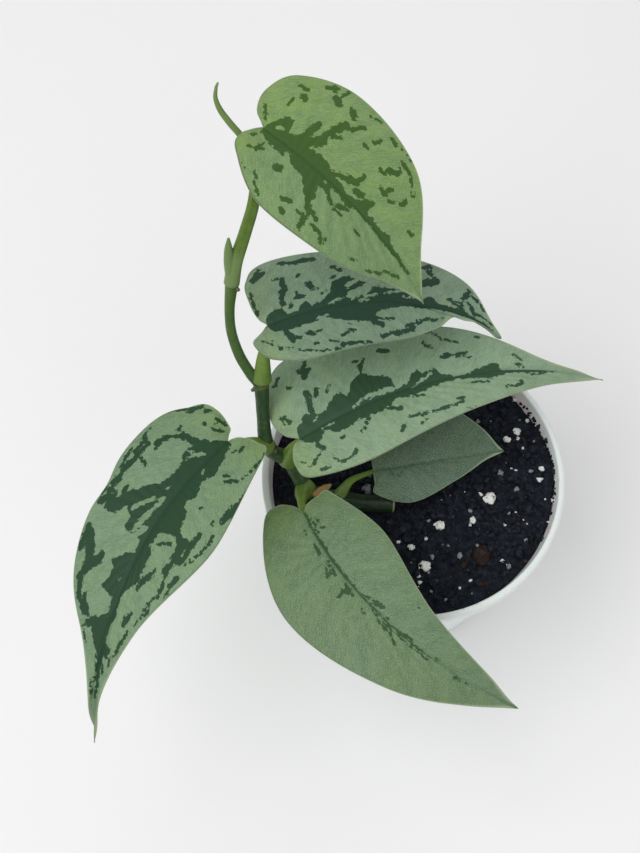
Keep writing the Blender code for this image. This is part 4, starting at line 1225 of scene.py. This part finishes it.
def cut_drains(pot):
    """Cut the ring of drain holes through the pot's bottom."""
    shape = bmesh.new()
    for k in range(DRAIN_COUNT):
        turn = 2 * math.pi * (k + 0.5) / DRAIN_COUNT
        place = Vector((math.cos(turn), math.sin(turn), 0.0)) * DRAIN_CIRCLE * MM
        bmesh.ops.create_cone(
            shape, cap_ends=True, segments=28, radius1=DRAIN_RADIUS * MM, radius2=DRAIN_RADIUS * MM,
            depth=8 * FLOOR * MM, matrix=Matrix.Translation(place),
        )
    mesh = bpy.data.meshes.new("drains")
    shape.to_mesh(mesh)
    shape.free()
    cutter = bpy.data.objects.new("drains", mesh)
    bpy.context.scene.collection.objects.link(cutter)
    step = pot.modifiers.new("drains", "BOOLEAN")
    step.operation = "DIFFERENCE"
    step.object = cutter
    graph = bpy.context.evaluated_depsgraph_get()
    pot.data = bpy.data.meshes.new_from_object(pot.evaluated_get(graph), depsgraph=graph)
    pot.modifiers.clear()
    bpy.data.objects.remove(cutter, do_unlink=True)


def make_pot(finish):
    """The thin pot: tapered wall, turned-down rounded rim and drain holes."""
    top, under = POT_HEIGHT, POT_HEIGHT - WALL
    skirt = POT_HEIGHT - RIM_SKIRT
    inner = wall_radius(POT_HEIGHT) - WALL
    profile = arc((WALL_BOTTOM_RADIUS - FOOT_ROUND, FOOT_ROUND), FOOT_ROUND, -90, -8, 7)
    profile += [(wall_radius(h), h) for h in np.linspace(3.0, under - 1.0, 22)]
    profile += arc((wall_radius(under) + FOLD_OUTER, under - FOLD_OUTER), FOLD_OUTER, 180, 90, 5)
    profile += arc((RIM_RADIUS - WALL - FOLD_INNER, under - FOLD_INNER), FOLD_INNER, 90, 0, 5)
    profile += arc((RIM_RADIUS - WALL / 2, skirt + WALL / 2), WALL / 2, 180, 360, 7)
    profile += arc((RIM_RADIUS - RIM_ROUND, top - RIM_ROUND), RIM_ROUND, 0, 90, 8)
    profile += arc((inner + LIP_ROUND, top - LIP_ROUND), LIP_ROUND, 90, 180, 6)
    profile += [(wall_radius(h) - WALL, h) for h in np.linspace(top - 2.0, 5.0, 22)]
    profile += arc((wall_radius(FLOOR) - WALL - FLOOR_ROUND, FLOOR + FLOOR_ROUND), FLOOR_ROUND, 0, -90, 6)
    points = [(0.0, 0.0, 0.0)]
    for radius, height in profile:
        points += [(x, y, height) for x, y in circle(radius, POT_SIDES)]
    points.append((0.0, 0.0, FLOOR))
    faces = lathe_faces(POT_SIDES, len(profile))
    made = piece("pot_shell", points, faces, [finish], "pot_plastic", ("pot",))
    cut_drains(made)
    places = np.array([corner.co[:] for corner in made.data.vertices]) / MM
    inside = np.hypot(places[:, 0], places[:, 1]) < wall_radius(places[:, 2]) - 0.4
    give(made, "dust", inside & (places[:, 2] > 60.0))


def soil_height(x, y):
    """Height of the soil's surface: low lumps, a bank at the wall, and a trough below the old cutting."""
    out, turn = math.hypot(x, y), math.degrees(math.atan2(y, x))
    near_wall = max(0.0, (out - BANK_START) / BANK_RUN) ** 2
    bank = sum(height * bell(turn, middle, spread) for height, middle, spread in (BANK_RISE, BANK_DIP))
    bank += 0.9 * noise.noise((turn / 6.0, 3.0, 1.0))
    lumps = 0.55 * math.sin(0.23 * x + 1.1) * math.cos(0.19 * y - 0.4)
    lumps += 0.35 * math.sin(0.47 * x - 0.36 * y + 0.8) + 0.25 * math.cos(0.71 * y + 0.52 * x)
    height = SOIL_LEVEL + 0.8 * lumps + bank * near_wall
    distance = np.hypot(TROUGH[:, 0] - x, TROUGH[:, 1] - y)
    nearest = int(distance.argmin())
    if distance[nearest] < TROUGH_REACH:
        height = min(height, TROUGH[nearest, 2] - TROUGH[nearest, 3] - 2 * GAP)
    return height


def soil_surface(x, y):
    """Height of the soil with its small lumps."""
    rough = 0.85 * noise.fractal((x / 2.6, y / 2.6, 4.0), 0.6, 2.2, 4)
    rough += 0.75 * noise.turbulence((x / 5.5, y / 5.5, 8.0), 3, False) - 0.4
    return soil_height(x, y) + rough


TROUGH = curve_through(STEM[:5], 24)


def make_soil(finish):
    """The soil's body with its crumbly surface."""
    reach = wall_radius(SOIL_LEVEL) - WALL - 0.15
    rings = round(reach / SOIL_STEP)
    foot = wall_radius(FLOOR + 2.0) - WALL
    points = [(0.0, 0.0, FLOOR + GAP)]
    for radius, height in ((foot - 2.0, FLOOR + GAP), (foot - GAP, FLOOR + 2.0)):
        points += [(x, y, height) for x, y in circle(radius, SOIL_SIDES)]
    for ring in range(rings):
        places = circle(reach * (1.0 - ring / rings), SOIL_SIDES)
        points += [(x, y, soil_surface(x, y)) for x, y in places]
    points.append((0.0, 0.0, soil_height(0.0, 0.0)))
    piece("soil_body", points, lathe_faces(SOIL_SIDES, rings + 2), [finish], "potting_soil", ("soil",))


def unit_rock():
    """Points and faces of a small ball of triangles."""
    shape = bmesh.new()
    bmesh.ops.create_icosphere(shape, subdivisions=2, radius=1.0)
    points = np.array([v.co[:] for v in shape.verts])
    faces = [tuple(v.index for v in f.verts) for f in shape.faces]
    shape.free()
    return points, faces


ROCK = unit_rock()


def rock(draw, centre, radius, rough, flat=1.0):
    """One irregular lump."""
    points, faces = ROCK
    seed = draw.uniform(0, 100)
    spin = draw.uniform(0, 2 * math.pi)
    stretch = np.array([draw.uniform(0.75, 1.3), draw.uniform(0.75, 1.3), draw.uniform(0.7, 1.1) * flat])
    grown = []
    for point in points:
        swell = 1.0 + rough * noise.noise(Vector(point) * 1.7 + Vector((seed, 0, 0)))
        swell += 0.5 * rough * noise.noise(Vector(point) * 4.1 + Vector((0, seed, 0)))
        x, y, z = point * stretch * swell * radius
        turned = (x * math.cos(spin) - y * math.sin(spin), x * math.sin(spin) + y * math.cos(spin), z)
        grown.append(np.add(centre, turned))
    return np.array(grown), faces


def scatter(draw, reach, radius=0.0):
    """A random place on the soil, where a lump of the radius stays inside the wall."""
    turn = draw.uniform(0, 2 * math.pi)
    out = math.sqrt(draw.random()) * (reach - LUMP_SWELL * radius)
    return out * math.cos(turn), out * math.sin(turn)


def stem_distance(x, y):
    """Plan distance from the stem's low stretch."""
    return float(np.hypot(TROUGH[:, 0] - x, TROUGH[:, 1] - y).min())


def cluster(draw, x, y, radius):
    """One perlite grain: a round lump with smaller ones stuck to it."""
    height = soil_surface(x, y)
    parts = [rock(draw, (x, y, height + 0.4 * radius), radius * 0.80, 0.45, 0.9)]
    for _ in range(6 if radius > 1.2 else 2):
        turn = draw.uniform(0, 2 * math.pi)
        out = 0.62 * radius
        side = (x + out * math.cos(turn), y + out * math.sin(turn), height + 0.45 * radius)
        parts.append(rock(draw, side, radius * draw.uniform(0.25, 0.5), 0.5, 0.9))
    return parts


def lay_crumbs(draw, reach, crumbs, grains):
    """Peat crumbs all over the soil, then crumbs and grains stuck to the wall at its bank."""
    for _ in range(CRUMB_COUNT):
        radius = 0.3 + 1.3 * draw.random() ** 3
        x, y = scatter(draw, reach, radius)
        if stem_distance(x, y) > 3.4 + radius:
            centre = (x, y, soil_surface(x, y) + 0.2 * radius)
            crumbs.append(rock(draw, centre, radius, 0.9, draw.uniform(0.5, 0.9)))
    for _ in range(WALL_CRUMBS):
        turn = math.radians(draw.gauss(*WALL_CRUMB_TURN))
        height = WALL_CRUMB_LOW + WALL_CRUMB_RISE * draw.random() ** 1.6
        radius = draw.uniform(0.2, 0.65)
        wall = wall_radius(height) - WALL - 0.7 * radius
        kind = grains if draw.random() < 0.2 else crumbs
        kind.append(rock(draw, (wall * math.cos(turn), wall * math.sin(turn), height), radius, 0.8))


def lay_bark(draw, reach, chips):
    """Small bark chips and the one large chip."""
    for _ in range(CHIP_COUNT):
        radius = draw.uniform(0.4, 1.1)
        x, y = scatter(draw, reach, radius)
        if stem_distance(x, y) > 5.0:
            chips.append(rock(draw, (x, y, soil_surface(x, y) + 0.1), radius, 0.8, 0.5))
    x, y, radius = BARK_CHIP
    chips.append(rock(draw, (x, y, soil_surface(x, y) + 0.4), radius, 0.5, 0.5))


def lay_perlite(draw, reach, grains, dull):
    """The larger grains where they are listed, and small ones between them."""
    for kind, places in ((grains, WHITE_GRAINS), (dull, DIRTY_GRAINS)):
        for place in places:
            kind.extend(cluster(draw, *place))
    for _ in range(GRAIN_COUNT):
        radius = 0.25 + 0.55 * draw.random() ** 2
        x, y = scatter(draw, reach, radius)
        if stem_distance(x, y) > 4.0 + radius:
            kind = grains if draw.random() < 0.4 else dull
            kind.append(rock(draw, (x, y, soil_surface(x, y) + 0.3 * radius), radius, 0.6, 0.85))


def lay_fibres(draw, reach, fibres):
    """Thin curved fibres; one that would reach the wall or the stem is left out."""
    for _ in range(FIBRE_COUNT):
        x, y = scatter(draw, reach - 4.0)
        turn, length = draw.uniform(0, 2 * math.pi), draw.uniform(4.0, 12.0)
        thick = draw.uniform(0.05, 0.10)
        path = []
        for step in range(FIBRE_POINTS):
            run = length * step / (FIBRE_POINTS - 1)
            px, py = x + run * math.cos(turn), y + run * math.sin(turn)
            if math.hypot(px, py) > reach - 1.0 or stem_distance(px, py) < 4.0:
                break
            turn += draw.uniform(-0.25, 0.25)
            path.append((px, py, soil_surface(px, py) + draw.uniform(0.3, 0.9), thick))
        if len(path) == FIBRE_POINTS:
            fibres.append(tube_parts(path, 1.2, 6, (0, 0, 1))[:2])


def make_soil_detail(finishes):
    """Crumbs, bark, perlite and fibres that lie in the soil's surface, each kind with its own finish."""
    draw = random.Random(SOIL_SEED)
    reach = wall_radius(SOIL_LEVEL) - WALL - 1.0
    crumbs, chips, grains, dull, fibres = kinds = [], [], [], [], []
    lay_crumbs(draw, reach, crumbs, grains)
    lay_bark(draw, reach, chips)
    lay_perlite(draw, reach, grains, dull)
    lay_fibres(draw, reach, fibres)
    for (name, finish), parts in zip(finishes.items(), kinds):
        piece(name, *joined(parts), [finish], "potting_soil")


def make_stage():
    """A pale floor and soft studio light."""
    mesh = bpy.data.meshes.new("floor")
    corners = [(x * FLOOR_HALF, y * FLOOR_HALF, 0.0) for x, y in ((-1, -1), (1, -1), (1, 1), (-1, 1))]
    mesh.from_pydata(corners, [], [(0, 1, 2, 3)])
    mesh.materials.append(Nodes("floor_pale").finish((FLOOR_GREY, FLOOR_GREY, FLOOR_GREY, 1.0), 0.9))
    floor = bpy.data.objects.new("floor", mesh)
    bpy.context.scene.collection.objects.link(floor)
    world = bpy.data.worlds.new("studio")
    world.use_nodes = True
    sky = world.node_tree.nodes["Background"]
    sky.inputs["Color"].default_value = (1.0, 1.0, 1.0, 1.0)
    sky.inputs["Strength"].default_value = SKY_STRENGTH
    bpy.context.scene.world = world
    for name, (place, size, power) in LAMPS.items():
        data = bpy.data.lights.new(name, "AREA")
        data.size = size
        data.energy = power
        lamp = bpy.data.objects.new(name, data)
        lamp.location = place
        aim = Vector(LAMP_TARGET) - Vector(place)
        lamp.rotation_euler = aim.to_track_quat("-Z", "Y").to_euler()
        bpy.context.scene.collection.objects.link(lamp)


def make_camera():
    """The camera at the photo's viewing angle."""
    data = bpy.data.cameras.new("camera")
    data.lens = LENS_MM
    camera = bpy.data.objects.new("camera", data)
    rise = math.radians(VIEW_ELEVATION)
    camera.location = (0.0, -VIEW_DISTANCE * math.cos(rise), RIM_HEIGHT + VIEW_DISTANCE * math.sin(rise))
    camera.rotation_euler = (math.radians(90.0 - CAMERA_PITCH), 0.0, math.radians(CAMERA_TURN))
    bpy.context.scene.collection.objects.link(camera)
    bpy.context.scene.camera = camera
    bpy.context.scene.view_settings.view_transform = "Standard"


def main():
    """Dress the frame."""
    make_camera()
    make_stage()
    make_pot(pot_material())
    make_soil(soil_material("soil_dark", SOIL_TONES))
    make_soil_detail({
        "soil_crumbs": soil_material("soil_crumb", CRUMB_TONES),
        "soil_bark": soil_material("soil_bark", BARK_TONES),
        "soil_perlite": perlite_material("perlite_white", PERLITE_TONES),
        "soil_grit": perlite_material("perlite_dirty", GRIT_TONES),
        "soil_fibres": soil_material("soil_fibre", FIBRE_TONES),
    })
    skin = stem_material()
    make_stem([skin, cut_material()])
    for number in PETIOLES:
        make_petiole(number, skin)
    make_new_leaf(skin)
    make_bract(dry_material())
    under, edge = blade_under_material(), blade_edge_material()
    for name, leaf in LEAVES.items():
        top = blade_top_material(name + "_top", leaf.marks)
        make_blade(name + "_blade", leaf, [top, under, edge])


main()
